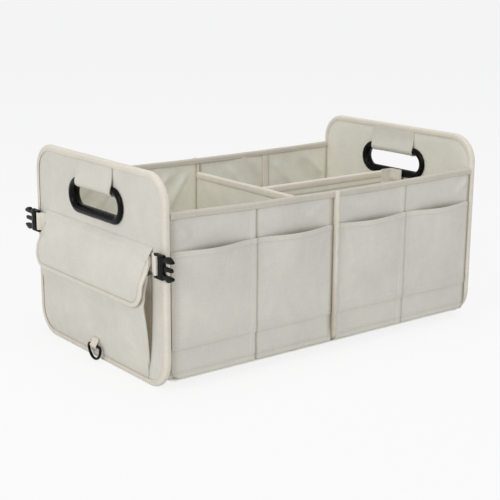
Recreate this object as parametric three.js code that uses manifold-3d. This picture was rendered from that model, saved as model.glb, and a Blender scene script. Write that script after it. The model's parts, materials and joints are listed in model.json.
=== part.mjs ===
// Folding car trunk organizer: an open box of stiffened cloth with two handled end panels,
// pockets along its sides, a flapped pocket on one end, and dividers inside.
// Millimetres, +Z up. X runs along the length, the pocket end lies towards -X.

import * as THREE from 'three';
import { mergeVertices } from 'three/addons/utils/BufferGeometryUtils.js';
import Module from 'manifold-3d';

const wasm = await Module();
wasm.setup();

const ARC_STEPS = 8; // faces round a quarter of a rounded corner

// Overall size
const LENGTH = 553; // over both end panels
const WIDTH = 330; // of an end panel
const HEIGHT = 277; // of an end panel
const CORNER = 40; // rounding of an end panel
const SIDE_INSET = 2; // a long side lies this far inside the end panels' edges

// Layers
const GAP = 0.3; // clearance between pieces that touch
const CLOTH = 1.4; // outer cloth and lining
const BOARD = 3; // stiffener of an end panel or divider
const SIDE_BOARD = 2; // stiffener of a long side
const TAPE = 0.9; // binding tape
const TAPE_WIDTH = 8; // how far the binding reaches in from an edge

// Long sides
const SIDE_BOTTOM = 16; // lower edge above the floor
const SIDE_TOP = 230; // upper edge next to the end panels
const SIDE_CORNER = 14; // rounding of its lower corners at the end panels
const SIDE_SAG = 3.4; // how much lower the upper edge is at the centre seam
const FOLD_AT = 134; // distance of the folding line from the centre seam
const FOLD_WIDTH = 8; // free strip between two boards at a fold
const SEAM_WIDTH = 5; // thickness of the bound centre seam
const SEAM_PROUD = 6; // how far the centre seam stands out
const SEAM_ROUND = 9; // rounding of the centre seam's lower corner

// Side pockets, two chambers on each half side
const CHAMBERS = [[14, 127], [143, 258]];
const POCKET_BOTTOM = 54;
const POCKET_LIP = 181;
const LIP_SAG = 1;
const LIP_GAPE = 8; // how far a lip stands off the side
const HEM_WIDTH = 7;
const HEM = 2.3; // thickness of a hem

// Handles
const HANDLE_LENGTH = 138;
const HANDLE_HEIGHT = 49;
const HANDLE_Z = 220;
const GRIP_WIDTH = 11.5;
const GRIP_PROUD = 6.5;
const COLLAR = 3; // wall that passes through the panel
const STRAP_WIDTH = 90;
const STRAP = 1.2;

// End pocket and its flap
const END_POCKET_BOTTOM = 9.5;
const END_POCKET_TOP = 148;
const END_POCKET_WIDTH = 266; // at the top
const END_POCKET_TAPER = 12; // narrower on each side at the bottom
const END_POCKET_DEPTH = 13.8;
const END_POCKET_TUCK = 3; // shallower at the top, under the flap
const FLAP_WIDTH = 274;
const FLAP_THICKNESS = 3;
const FLAP_RIM = 0.8; // extra thickness of the bound edge, on each face
const FLAP_CORNER = 22;
const FLAP_BULGE = 5;
const FLAP_HINGE = [4.5, 173]; // distance out from the cloth, height
const FLAP_TIP = [21, 108];
const SEAM_STRIP_HEIGHT = 14;
const FASTENER = 1.5; // thickness of the loop strip under the flap
const FASTENER_WIDTH = 70;
const FASTENER_HEIGHT = 20;
const FASTENER_Z = 121;

// Side-release buckles on webbing
const WEBBING_WIDTH = 25;
const WEBBING = 1.3;
const BUCKLE_Z = 165;
const BUCKLE_WIDTH = 31.7;
const BUCKLE_THICKNESS = 5;
const BUCKLE_LENGTH = 38;
const BAR_RADIUS = 1.7;
const MALE_BAR = [FLAP_WIDTH / 2 + 15, 6]; // distance from the centre line, distance out from the cloth
const FEMALE_BAR = [108, 5.4];
const SOCKET_LENGTH = 33;
const SOCKET_THICKNESS = 9;
const WEBBING_ROOT = 30; // from the bar to the sewn end

// D-ring
const RING_WIRE = 1.9; // radius
const RING_WIDTH = 34;
const RING_BAR = [8.2, 21]; // distance out from the cloth, height
const RING_LOW = 2.4; // lowest point of the wire's centre
const TAB_WIDTH = 15;
const TAB = 1;

// Inside
const DIVIDER_TOP = 205;
const LONG_DIVIDER_Y = 0;
const END_TAB_WIDTH = 22; // each leg of the strip that fixes the long divider to the end panel
const END_TAB_Z = [60, 208];
const BASE_CLOTH = 2;
const BASE_BOARD = 3.5;

// Derived places
const PANEL = BOARD + 2 * (CLOTH + TAPE + 2 * GAP);
const EDGE_INSET = TAPE + GAP;
const FACE = LENGTH / 2 - EDGE_INSET; // outer face of an end panel's cloth
const INNER_FACE = LENGTH / 2 - PANEL + EDGE_INSET; // its lining, seen from inside
const SIDE_END = LENGTH / 2 - PANEL - GAP; // where a long side meets an end panel
const SIDE_FACE = WIDTH / 2 - SIDE_INSET;
const SIDE_STACK = SIDE_BOARD + 2 * (CLOTH + GAP);
const SIDE_INNER = SIDE_FACE - SIDE_STACK;
const HALF_SEAM = SEAM_WIDTH / 2;
const BASE_Z = SIDE_BOTTOM - GAP - BASE_CLOTH;
const DIVIDER = BOARD + 2 * (CLOTH + GAP);

const cloth = material(0xe2ddd1, 0.92);
const lining = material(0xcbc8b9, 0.92);
const tape = material(0xe8dccd, 0.88);
const webbing = material(0xe0d8c9, 0.85);
const board = material(0xd5d3cc, 0.6);
const plastic = material(0x141414, 0.3);
const fastener = material(0xd9d4c8, 0.95);

const organizer = new THREE.Group();

function material(color, roughness) {
  return new THREE.MeshStandardMaterial({ color, roughness, metalness: 0 });
}

// Every geometry below is drawn in a local frame: x across the face, y out of it, z up.

function remap(geometry, place) {
  const position = geometry.attributes.position;
  for (let i = 0; i < position.count; i += 1) {
    position.setXYZ(i, ...place(position.getX(i), position.getY(i), position.getZ(i)));
  }
  return geometry;
}

// Only the shared vertices are kept, and the faces are turned outward.
function closed(geometry) {
  const bare = geometry.clone();
  bare.deleteAttribute('normal');
  bare.deleteAttribute('uv');
  const merged = mergeVertices(bare, 1e-3);
  const index = merged.index.array;
  const corner = [new THREE.Vector3(), new THREE.Vector3(), new THREE.Vector3()];
  let volume = 0;
  for (let i = 0; i < index.length; i += 3) {
    corner.forEach((point, k) => point.fromBufferAttribute(merged.attributes.position, index[i + k]));
    volume += corner[0].dot(corner[1].cross(corner[2]));
  }
  if (volume < 0) {
    for (let i = 0; i < index.length; i += 3) {
      [index[i], index[i + 1]] = [index[i + 1], index[i]];
    }
  }
  merged.computeVertexNormals();
  return merged;
}

function add(name, geometry, look, place) {
  const mesh = new THREE.Mesh(closed(remap(geometry, place)), look);
  mesh.name = name;
  organizer.add(mesh);
}

// Places on an end panel's outer cloth and on a long side's outer cloth.
const onEnd = (end, hand = 1) => (x, y, z) => [end * (FACE + y), hand * x, z];
const onSide = (half, side) => (x, y, z) => [half * x, side * (SIDE_FACE + y), z];
const inside = (x, y, z) => [x, y, z];

function extrude(shape, depth, steps = 1) {
  const curveSegments = ARC_STEPS / 2;
  return new THREE.ExtrudeGeometry(shape, { depth, steps, curveSegments, bevelEnabled: false });
}

// A shape drawn in (across, up), given thickness outward.
function outward(shape, from, to) {
  return remap(extrude(shape, to - from), (x, y, z) => [x, from + z, y]);
}

// A shape drawn in (out, up), drawn out across.
function across(shape, from, to, steps) {
  return remap(extrude(shape, to - from, steps), (x, y, z) => [from + z, x, y]);
}

// A shape drawn in (across, out), drawn upward.
function upward(shape, from, to) {
  return remap(extrude(shape, to - from), (x, y, z) => [x, y, from + z]);
}

function polygon(points) {
  return new THREE.Shape(points.map(([x, y]) => new THREE.Vector2(x, y)));
}

function rectangle(x0, y0, x1, y1) {
  return polygon([[x0, y0], [x1, y0], [x1, y1], [x0, y1]]);
}

function roundedRectangle(halfWidth, bottom, top, radius) {
  const shape = new THREE.Shape();
  shape.absarc(halfWidth - radius, bottom + radius, radius, -Math.PI / 2, 0);
  shape.absarc(halfWidth - radius, top - radius, radius, 0, Math.PI / 2);
  shape.absarc(radius - halfWidth, top - radius, radius, Math.PI / 2, Math.PI);
  shape.absarc(radius - halfWidth, bottom + radius, radius, Math.PI, 1.5 * Math.PI);
  shape.closePath();
  return shape;
}

// A line moved sideways by a distance, to its left, with its corners kept.
function offset(points, distance) {
  const normals = points.slice(1).map(([x, y], i) => {
    const [px, py] = points[i];
    const length = Math.hypot(x - px, y - py);
    return [(py - y) / length, (x - px) / length];
  });
  return points.map(([x, y], i) => {
    const before = normals[Math.max(i - 1, 0)];
    const after = normals[Math.min(i, normals.length - 1)];
    const scale = distance / (1 + before[0] * after[0] + before[1] * after[1]);
    return [x + scale * (before[0] + after[0]), y + scale * (before[1] + after[1])];
  });
}

// The outline of a strip of cloth or tape that follows a line.
function strip(points, thickness) {
  const left = offset(points, thickness / 2);
  const right = offset(points, -thickness / 2);
  return polygon([...left, ...right.reverse()]);
}

// A sheet of cloth: point(i, j) is its inner face, and its outer face lies thickness(i, j) off it.
function sheet(columns, rows, point, thickness) {
  const inner = [];
  for (let j = 0; j < rows; j += 1) {
    for (let i = 0; i < columns; i += 1) {
      inner.push(new THREE.Vector3(...point(i, j)));
    }
  }
  const { clamp } = THREE.MathUtils;
  const at = (i, j) => inner[clamp(j, 0, rows - 1) * columns + clamp(i, 0, columns - 1)];
  const outer = inner.map((p, k) => {
    const i = k % columns;
    const j = Math.floor(k / columns);
    const along = at(i + 1, j).clone().sub(at(i - 1, j));
    const up = at(i, j + 1).clone().sub(at(i, j - 1));
    return along.cross(up).normalize().multiplyScalar(-thickness(i, j)).add(p);
  });
  const faces = [];
  const quad = (a, b, c, d) => faces.push(a, b, c, a, c, d);
  const back = inner.length;
  for (let j = 0; j < rows - 1; j += 1) {
    for (let i = 0; i < columns - 1; i += 1) {
      const k = j * columns + i;
      quad(k, k + 1, k + columns + 1, k + columns);
      quad(back + k, back + k + columns, back + k + columns + 1, back + k + 1);
    }
  }
  const rim = (a, b) => quad(b, a, back + a, back + b);
  for (let i = 0; i < columns - 1; i += 1) {
    rim(i, i + 1);
    rim((rows - 1) * columns + i + 1, (rows - 1) * columns + i);
  }
  for (let j = 0; j < rows - 1; j += 1) {
    rim((j + 1) * columns, j * columns);
    rim(j * columns + columns - 1, (j + 1) * columns + columns - 1);
  }
  return meshFrom([...inner, ...outer].flatMap((p) => p.toArray()), faces);
}

function meshFrom(positions, faces) {
  const geometry = new THREE.BufferGeometry();
  geometry.setAttribute('position', new THREE.Float32BufferAttribute(positions, 3));
  geometry.setIndex(faces);
  return geometry;
}

// A closed ring: section points are [away from the loop, out of the face].
function ring(loop, section) {
  const positions = [];
  const faces = [];
  loop.forEach(({ x, z, nx, nz }, i) => {
    const next = (i + 1) % loop.length;
    section.forEach(([away, out], k) => {
      positions.push(x + nx * away, out, z + nz * away);
      const beside = (k + 1) % section.length;
      const a = i * section.length + k;
      const b = i * section.length + beside;
      const c = next * section.length + beside;
      const d = next * section.length + k;
      faces.push(a, b, c, a, c, d);
    });
  });
  return meshFrom(positions, faces);
}

// Points round a rounded rectangle, each with the direction that leads away from it.
function loopRound(halfWidth, bottom, top, radius, steps) {
  const loop = [];
  for (let quarter = 0; quarter < 4; quarter += 1) {
    const right = quarter === 0 || quarter === 3;
    const x = (right ? 1 : -1) * (halfWidth - radius);
    const z = quarter < 2 ? top - radius : bottom + radius;
    for (let k = 0; k <= steps; k += 1) {
      const angle = (quarter + k / steps) * (Math.PI / 2);
      const nx = Math.cos(angle);
      const nz = Math.sin(angle);
      const last = loop.at(-1);
      const place = { x: x + radius * nx, z: z + radius * nz, nx, nz };
      if (!last || Math.hypot(last.x - place.x, last.z - place.z) > 1e-6) {
        loop.push(place);
      }
    }
  }
  return loop;
}

function toSolid(geometry) {
  const mesh = closed(geometry);
  return new wasm.Manifold(new wasm.Mesh({
    numProp: 3,
    vertProperties: mesh.attributes.position.array,
    triVerts: new Uint32Array(mesh.index.array),
  }));
}

function fromSolid(solid) {
  const mesh = solid.getMesh();
  return meshFrom(Array.from(mesh.vertProperties), Array.from(mesh.triVerts));
}

// Points on an arc, between two angles in degrees.
function round(x, y, radius, from, to, steps) {
  const points = [];
  for (let k = 0; k <= steps; k += 1) {
    const angle = THREE.MathUtils.degToRad(from + ((to - from) * k) / steps);
    points.push([x + radius * Math.cos(angle), y + radius * Math.sin(angle)]);
  }
  return points;
}

// End panels: cloth, board and lining, bound together round the edge.

const handleHoleRadius = HANDLE_HEIGHT / 2 - GRIP_WIDTH;
const handleHoleHalf = HANDLE_LENGTH / 2 - GRIP_WIDTH;

function panelLayer(inset) {
  const shape = roundedRectangle(WIDTH / 2 - inset, inset, HEIGHT - inset, CORNER - inset);
  const clear = COLLAR + GAP;
  const radius = handleHoleRadius + clear;
  shape.holes.push(roundedRectangle(handleHoleHalf + clear, HANDLE_Z - radius, HANDLE_Z + radius, radius));
  return shape;
}

function endPanel(end, label) {
  const place = onEnd(end);
  const layers = [
    ['cloth', cloth, 0, CLOTH],
    ['board', board, CLOTH + GAP, CLOTH + GAP + BOARD],
    ['lining', lining, CLOTH + BOARD + 2 * GAP, 2 * (CLOTH + GAP) + BOARD],
  ];
  for (const [layer, look, from, to] of layers) {
    const inset = EDGE_INSET + (layer === 'board' ? GAP : 0);
    add(`end_panel_${label}_${layer}`, outward(panelLayer(inset), -to, -from), look, place);
  }
  const top = HEIGHT - EDGE_INSET;
  const loop = loopRound(WIDTH / 2 - EDGE_INSET, EDGE_INSET, top, CORNER - EDGE_INSET, ARC_STEPS);
  const front = EDGE_INSET;
  const back = EDGE_INSET - PANEL;
  const reach = EDGE_INSET - TAPE_WIDTH;
  add(`end_binding_${label}`, ring(loop, [
    [reach, back], [EDGE_INSET, back], [EDGE_INSET, front], [reach, front],
    [reach, front - TAPE], [GAP, front - TAPE], [GAP, back + TAPE], [reach, back + TAPE],
  ]), tape, place);
}

// Handles: a rounded ring in two halves, clamped on the panel, with a cloth strap over its upper bar.

const gripProfile = [
  [GRIP_WIDTH, 0.38], [0.85 * GRIP_WIDTH, 0.8], [GRIP_WIDTH / 2, 1], [0.15 * GRIP_WIDTH, 0.8], [0, 0.38],
].map(([away, share]) => [away, share * GRIP_PROUD]);

function handle(end, label) {
  const loop = loopRound(
    handleHoleHalf, HANDLE_Z - handleHoleRadius, HANDLE_Z + handleHoleRadius, handleHoleRadius, 4,
  );
  const middle = -(CLOTH + GAP + BOARD / 2);
  const section = [
    [0, middle + GAP / 2], [COLLAR, middle + GAP / 2], [COLLAR, GAP], [GRIP_WIDTH, GAP], ...gripProfile,
  ];
  const mirrored = section.map(([away, out]) => [away, 2 * middle - out]);
  add(`handle_${label}_outer`, ring(loop, section), plastic, onEnd(end));
  add(`handle_${label}_inner`, ring(loop, mirrored), plastic, onEnd(end));

  const barFoot = HANDLE_Z + handleHoleRadius;
  const spare = GAP + STRAP / 2;
  const overBar = offset([
    [0, HEIGHT - TAPE_WIDTH - GAP], [0, barFoot + GRIP_WIDTH + 2],
    ...gripProfile.map(([away, out]) => [out, barFoot + away]),
    [0, barFoot], [middle, barFoot],
  ], spare);
  const underBar = overBar.slice(0, -1).reverse().map(([out, z]) => [2 * middle - out, z]);
  add(`handle_strap_${label}`, across(
    strip([...overBar, ...underBar], STRAP), -STRAP_WIDTH / 2, STRAP_WIDTH / 2,
  ), cloth, onEnd(end));
}

// Long sides: cloth, two boards and lining, folding inward at the line between the boards.

function sideTop(x) {
  return SIDE_TOP - SIDE_SAG * (1 - (x / SIDE_END) ** 2);
}

// A layer's lower outer corner, rounded as it follows the end panel's own corner.
function lowerCorner(x, z, round) {
  if (round === 0) {
    return [[x, z]];
  }
  const steps = ARC_STEPS / 2;
  const points = [];
  for (let k = 0; k <= steps; k += 1) {
    const turn = (Math.PI / 2) * (k / steps);
    points.push([x - round * (1 - Math.sin(turn)), z + round * (1 - Math.cos(turn))]);
  }
  return points;
}

function sideLayer(from, to, bottom, drop, round) {
  const steps = Math.max(1, Math.round((to - from) / 45));
  const top = [];
  for (let k = 0; k <= steps; k += 1) {
    const x = to + ((from - to) * k) / steps;
    top.push([x, sideTop(x) - drop]);
  }
  return polygon([[from, bottom], ...lowerCorner(to, bottom, round), ...top]);
}

function halfSide(half, side, label) {
  const place = onSide(half, side);
  const start = HALF_SEAM + GAP;
  const outline = sideLayer(start, SIDE_END, SIDE_BOTTOM, EDGE_INSET, SIDE_CORNER);
  add(`side_cloth_${label}`, outward(outline, -CLOTH, 0), cloth, place);
  add(`side_lining_${label}`, outward(outline, -SIDE_STACK, CLOTH - SIDE_STACK), lining, place);
  const spans = {
    centre: [start + GAP, FOLD_AT - FOLD_WIDTH / 2, 0],
    end: [FOLD_AT + FOLD_WIDTH / 2, SIDE_END - GAP, SIDE_CORNER],
  };
  for (const [part, [from, to, round]] of Object.entries(spans)) {
    const shape = sideLayer(from, to, SIDE_BOTTOM + GAP, EDGE_INSET + GAP, round);
    add(`side_board_${label}_${part}`, outward(shape, -CLOTH - GAP - SIDE_BOARD, -CLOTH - GAP), board, place);
  }
  add(`side_pocket_${label}`, sidePocket(), cloth, place);
}

// One cloth sewn down at the bottom, at its ends and between its two chambers, standing open above.
function sidePocket() {
  const steps = 8;
  const first = CHAMBERS[0][0] - 6;
  const last = CHAMBERS[1][1] + 6;
  const columns = [[first, 0]];
  for (const [from, to] of CHAMBERS) {
    for (let k = 0; k <= steps; k += 1) {
      columns.push([from + ((to - from) * k) / steps, Math.sin((Math.PI * k) / steps) ** 0.8]);
    }
  }
  columns.push([last, 0]);
  const rows = [0, 0.06, 0.25, 0.48, 0.72, 1 - HEM_WIDTH / (POCKET_LIP - POCKET_BOTTOM), 1];
  return sheet(columns.length, rows.length, (i, j) => {
    const [x, swell] = columns[i];
    const height = POCKET_LIP - LIP_SAG * swell - POCKET_BOTTOM;
    return [x, GAP + LIP_GAPE * swell * rows[j] ** 0.8, POCKET_BOTTOM + height * rows[j]];
  }, (i, j) => (j >= rows.length - 2 ? HEM : CLOTH));
}

// Binding over the whole upper edge of a long side.
function sideBinding(side, label) {
  const out = EDGE_INSET;
  const back = -SIDE_STACK - EDGE_INSET;
  const section = polygon([
    [out, -TAPE_WIDTH], [out, 0], [back, 0], [back, -TAPE_WIDTH],
    [back + TAPE, -TAPE_WIDTH], [back + TAPE, -TAPE], [out - TAPE, -TAPE], [out - TAPE, -TAPE_WIDTH],
  ]);
  const tube = across(section, -SIDE_END, SIDE_END, 12);
  const sagging = remap(tube, (x, y, z) => [x, y, z + sideTop(x)]);
  add(`side_binding_${label}`, sagging, tape, onSide(1, side));
}

// Bound seam where the two halves of a side and the cross divider meet, standing out as a fin.
function centreSeam(side, label) {
  const outer = EDGE_INSET + GAP;
  const shape = new THREE.Shape();
  shape.moveTo(-SIDE_STACK, SIDE_BOTTOM);
  shape.lineTo(SEAM_PROUD - SEAM_ROUND, SIDE_BOTTOM);
  shape.absarc(SEAM_PROUD - SEAM_ROUND, SIDE_BOTTOM + SEAM_ROUND, SEAM_ROUND, -Math.PI / 2, 0);
  shape.lineTo(SEAM_PROUD, sideTop(0));
  shape.lineTo(outer, sideTop(0));
  shape.lineTo(outer, sideTop(0) - TAPE_WIDTH - GAP);
  shape.lineTo(-SIDE_STACK, sideTop(0) - TAPE_WIDTH - GAP);
  add(`centre_seam_${label}`, across(shape, -HALF_SEAM, HALF_SEAM), tape, onSide(1, side));
}

// End pocket: a gusseted bag, sewn down at its sides and bottom.

function pocketDepth(z) {
  const share = (z - END_POCKET_BOTTOM) / (END_POCKET_TOP - END_POCKET_BOTTOM);
  const swell = Math.sin((Math.PI / 2) * Math.min(1, share / 0.7));
  return END_POCKET_DEPTH * swell - END_POCKET_TUCK * Math.max(0, (share - 0.7) / 0.3) ** 2;
}

// A point on the middle of the pocket's front, lifted off its outer face.
function offPocket(z, lift) {
  const slope = pocketDepth(z + 0.5) - pocketDepth(z - 0.5);
  const reach = (CLOTH + lift) / Math.hypot(1, slope);
  return [GAP + pocketDepth(z) + reach, z - slope * reach];
}

function endPocket() {
  const columns = 17;
  const rows = [0, 0.04, 0.12, 0.25, 0.42, 0.6, 0.75, 0.88, 0.95, 1];
  add('end_pocket', sheet(columns, rows.length, (i, j) => {
    const z = END_POCKET_BOTTOM + (END_POCKET_TOP - END_POCKET_BOTTOM) * rows[j];
    const halfWidth = END_POCKET_WIDTH / 2 - END_POCKET_TAPER * (1 - rows[j]) ** 3;
    const angle = (Math.PI * i) / (columns - 1);
    const side = Math.cos(angle);
    return [
      -halfWidth * Math.sign(side) * Math.abs(side) ** 0.3,
      GAP + pocketDepth(z) * Math.sin(angle) ** 0.3,
      z,
    ];
  }, (i, j) => (j >= rows.length - 2 ? HEM : CLOTH)), cloth, onEnd(-1));
}

// Flap: one padded piece with a thicker bound edge, hinged at its upper seam.

const [hingeOut, hingeZ] = FLAP_HINGE;
const [tipOut, tipZ] = FLAP_TIP;

function flapLine(from, to, steps) {
  const length = Math.hypot(tipOut - hingeOut, tipZ - hingeZ);
  const normal = [(hingeZ - tipZ) / length, (tipOut - hingeOut) / length];
  const points = [];
  for (let k = 0; k <= steps; k += 1) {
    const share = from + ((to - from) * k) / steps;
    const rise = 4 * FLAP_BULGE * share * (1 - share);
    points.push([
      hingeOut + (tipOut - hingeOut) * share + normal[0] * rise,
      hingeZ + (tipZ - hingeZ) * share + normal[1] * rise,
    ]);
  }
  return points;
}

function flapOutline(inset) {
  const shape = new THREE.Shape();
  const halfWidth = FLAP_WIDTH / 2 - inset;
  const radius = FLAP_CORNER - inset;
  const bottom = tipZ - 2 + inset;
  shape.moveTo(halfWidth, hingeZ + 2 * FLAP_THICKNESS);
  shape.lineTo(-halfWidth, hingeZ + 2 * FLAP_THICKNESS);
  shape.absarc(radius - halfWidth, bottom + radius, radius, Math.PI, 1.5 * Math.PI);
  shape.absarc(halfWidth - radius, bottom + radius, radius, -Math.PI / 2, 0);
  return shape;
}

function pocketFlap() {
  const half = FLAP_WIDTH / 2;
  const reach = tipOut + 20;
  const layer = (thickness) => toSolid(across(strip(flapLine(0, 1, 7), thickness), -half, half));
  const outline = toSolid(outward(flapOutline(0), 0, reach));
  const core = toSolid(outward(flapOutline(TAPE_WIDTH - 2), -1, reach + 1));
  const rim = layer(FLAP_THICKNESS + 2 * FLAP_RIM).subtract(core);
  const flap = rim.add(layer(FLAP_THICKNESS)).intersect(outline);
  add('pocket_flap', fromSolid(flap), cloth, onEnd(-1));

  const seamOut = hingeOut - FLAP_THICKNESS / 2 - FLAP_RIM - GAP;
  const seamHalf = FLAP_WIDTH / 2 - (FLAP_WIDTH / 2 - MALE_BAR[0] + WEBBING_ROOT) - 3;
  const seam = rectangle(-seamHalf, hingeZ - SEAM_STRIP_HEIGHT / 2, seamHalf, hingeZ + SEAM_STRIP_HEIGHT / 2);
  add('flap_seam_strip', outward(seam, GAP, seamOut), cloth, onEnd(-1));
}

// Loop strip on the pocket, where the flap fastens.
function loopStrip() {
  const half = FASTENER_WIDTH / 2;
  const heights = [-0.5, -0.17, 0.17, 0.5].map((step) => FASTENER_Z + step * FASTENER_HEIGHT);
  const line = heights.map((z) => offPocket(z, GAP + FASTENER / 2));
  add('pocket_loop_strip', across(strip(line, FASTENER), -half, half), fastener, onEnd(-1));
}

// Webbing: sewn to the panel, round the buckle's bar and back on itself.
function webbingTab(name, end, hand, [barX, barY]) {
  const rootX = barX - WEBBING_ROOT;
  const low = GAP + WEBBING / 2;
  const high = low + WEBBING + GAP;
  const radius = BAR_RADIUS + GAP + WEBBING / 2;
  const line = [
    [rootX, low], [barX - 9, low],
    ...round(barX, barY, radius, -77, 132, 7),
    [barX - 7.5, high + 0.4], [barX - WEBBING_ROOT * 0.45, high],
  ];
  add(name, upward(
    strip(line, WEBBING), BUCKLE_Z - WEBBING_WIDTH / 2, BUCKLE_Z + WEBBING_WIDTH / 2,
  ), webbing, onEnd(end, hand));
}

const buckleHalf = BUCKLE_WIDTH / 2;
const railInside = WEBBING_WIDTH / 2 + 0.6;
const yokeAt = 6.2; // where a buckle's body starts, measured from the bar
const railEnd = -2.2; // where its rails end, on the bar's other side

// Cross bar that the webbing goes round, between the two rails.
function crossBar() {
  const bar = new THREE.CylinderGeometry(BAR_RADIUS, BAR_RADIUS, 2 * railInside + 2, 10);
  return remap(bar, (x, y, z) => [x, z, y]);
}

function atBuckle(end, hand, [barX, barY]) {
  const place = onEnd(end, hand);
  return (x, y, z) => place(barX + x, barY + y, BUCKLE_Z + z);
}

// Male half: a yoke with the bar, a centre tongue and two springing side arms with barbs.
function maleBuckle(label, hand) {
  const arm = [
    [railEnd, buckleHalf], [17, buckleHalf], [18.5, 12.6], [22, 12.4], [24, buckleHalf], [29, buckleHalf],
    [BUCKLE_LENGTH - 1, 11.8], [BUCKLE_LENGTH, 10], [BUCKLE_LENGTH - 1.5, 8.8], [21, 8.2], [17.5, 7.2],
  ];
  const tongue = [[17.5, 2.6], [22, 2], [BUCKLE_LENGTH - 3, 1.8], [BUCKLE_LENGTH - 1.5, 0.8]];
  const side = [...arm, ...tongue];
  const notch = [[railEnd, railInside], [yokeAt, railInside]];
  const mirror = (points) => points.map(([x, z]) => [x, -z]).reverse();
  const shape = polygon([...notch.slice().reverse(), ...side, ...mirror(side), ...mirror(notch).reverse()]);
  const plate = outward(shape, -BUCKLE_THICKNESS / 2, BUCKLE_THICKNESS / 2);
  const thin = BUCKLE_THICKNESS / 2 - 1;
  const relief = (y0, y1) => toSolid(outward(rectangle(18, -4, BUCKLE_LENGTH + 1, 4), y0, y1));
  const solid = toSolid(plate)
    .subtract(relief(thin, BUCKLE_THICKNESS))
    .subtract(relief(-BUCKLE_THICKNESS, -thin))
    .add(toSolid(crossBar()));
  add(`buckle_male_${label}`, fromSolid(solid), plastic, atBuckle(-1, hand, MALE_BAR));
}

// Female half: a flat housing with a socket for the arms, and a window in each side for the barbs.
function femaleBuckle(label, hand) {
  const thick = SOCKET_THICKNESS / 2;
  const hollow = BUCKLE_THICKNESS / 2 + GAP;
  const body = polygon([
    [railEnd, railInside], [railEnd, buckleHalf],
    [SOCKET_LENGTH - 2, buckleHalf], [SOCKET_LENGTH, buckleHalf - 2],
    [SOCKET_LENGTH, 2 - buckleHalf], [SOCKET_LENGTH - 2, -buckleHalf],
    [railEnd, -buckleHalf], [railEnd, -railInside], [yokeAt, -railInside], [yokeAt, railInside],
  ]);
  const arms = BUCKLE_LENGTH - 17;
  const socket = rectangle(SOCKET_LENGTH - arms, 2.4 - buckleHalf, SOCKET_LENGTH + 1, buckleHalf - 2.4);
  const window = rectangle(SOCKET_LENGTH - arms + 3, -buckleHalf - 1, SOCKET_LENGTH - 7, buckleHalf + 1);
  const thumb = new THREE.Shape();
  thumb.absarc(SOCKET_LENGTH + 2, 0, 9, 0, 2 * Math.PI);
  const solid = toSolid(outward(body, -thick, thick))
    .subtract(toSolid(outward(socket, -hollow, hollow)))
    .subtract(toSolid(outward(window, -hollow, hollow)))
    .subtract(toSolid(outward(thumb, hollow - 1, thick + 1)))
    .add(toSolid(crossBar()));
  add(`buckle_female_${label}`, fromSolid(solid), plastic, atBuckle(1, hand, FEMALE_BAR));
}

// D-ring in a folded tab at the foot of the end pocket.
function dRing() {
  const [barOut, barZ] = RING_BAR;
  const half = RING_WIDTH / 2 - RING_WIRE;
  const turn = 3;
  const path = new THREE.Shape();
  path.absarc(half - turn, barZ - turn, turn, Math.PI / 2, 0, true);
  path.absellipse(0, barZ - turn, half, barZ - turn - RING_LOW, 0, -Math.PI, true);
  path.absarc(turn - half, barZ - turn, turn, Math.PI, Math.PI / 2, true);
  const points = path.getPoints(5).filter((p, i, list) => i === 0 || p.distanceTo(list[i - 1]) > 1e-3);
  const loop = points.map((p, i) => {
    const before = points.at(i - 1);
    const after = points[(i + 1) % points.length];
    const length = after.distanceTo(before);
    return { x: p.x, z: p.y, nx: -(after.y - before.y) / length, nz: (after.x - before.x) / length };
  });
  const section = round(0, 0, RING_WIRE, 0, 315, 7).map(([away, out]) => [away, barOut + out]);
  add('d_ring', ring(loop, section), plastic, onEnd(-1));

  const radius = RING_WIRE + GAP + TAB / 2;
  const low = GAP + TAB / 2;
  const high = low + TAB + GAP;
  const line = [
    offPocket(barZ + 18, low), offPocket(barZ + 12, low), offPocket(barZ + 6, low),
    ...round(barOut, barZ, radius, 170, 370, 8),
    offPocket(barZ + 11, high + 0.5), offPocket(barZ + 18, high),
  ];
  add('d_ring_tab', across(strip(line, TAB), -TAB_WIDTH / 2, TAB_WIDTH / 2), tape, onEnd(-1));
}

// Dividers: a board in a cover that is folded over its top, open below.
function divider(name, length, bottom, place) {
  const half = (DIVIDER - CLOTH) / 2;
  const top = DIVIDER_TOP - CLOTH / 2;
  const fold = strip([[-half, bottom], [-half, top], [half, top], [half, bottom]], CLOTH);
  add(`${name}_cover`, across(fold, -length / 2, length / 2), lining, place);
  const core = rectangle(-BOARD / 2, bottom + GAP, BOARD / 2, DIVIDER_TOP - CLOTH - GAP);
  add(`${name}_board`, across(core, GAP - length / 2, length / 2 - GAP), board, place);
}

// Tab on the long divider's end: turned along the lining, and above that over the handle's lower bar.
function endTab(start) {
  const beside = LONG_DIVIDER_Y - DIVIDER / 2 - GAP - TAB;
  const onLining = INNER_FACE - GAP - TAB;
  const overBar = onLining - GRIP_PROUD;
  const barFoot = HANDLE_Z - HANDLE_HEIGHT / 2 - 2;
  const rows = [
    [END_TAB_Z[0], onLining], [barFoot - 2 * GRIP_PROUD, onLining], [barFoot, overBar], [END_TAB_Z[1], overBar],
  ];
  const columns = 4;
  return sheet(columns, rows.length, (i, j) => {
    const [z, turn] = rows[j];
    return [i === 0 ? start : turn, beside - Math.max(0, i - 1) * (END_TAB_WIDTH / 2), z];
  }, () => TAB);
}

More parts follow.
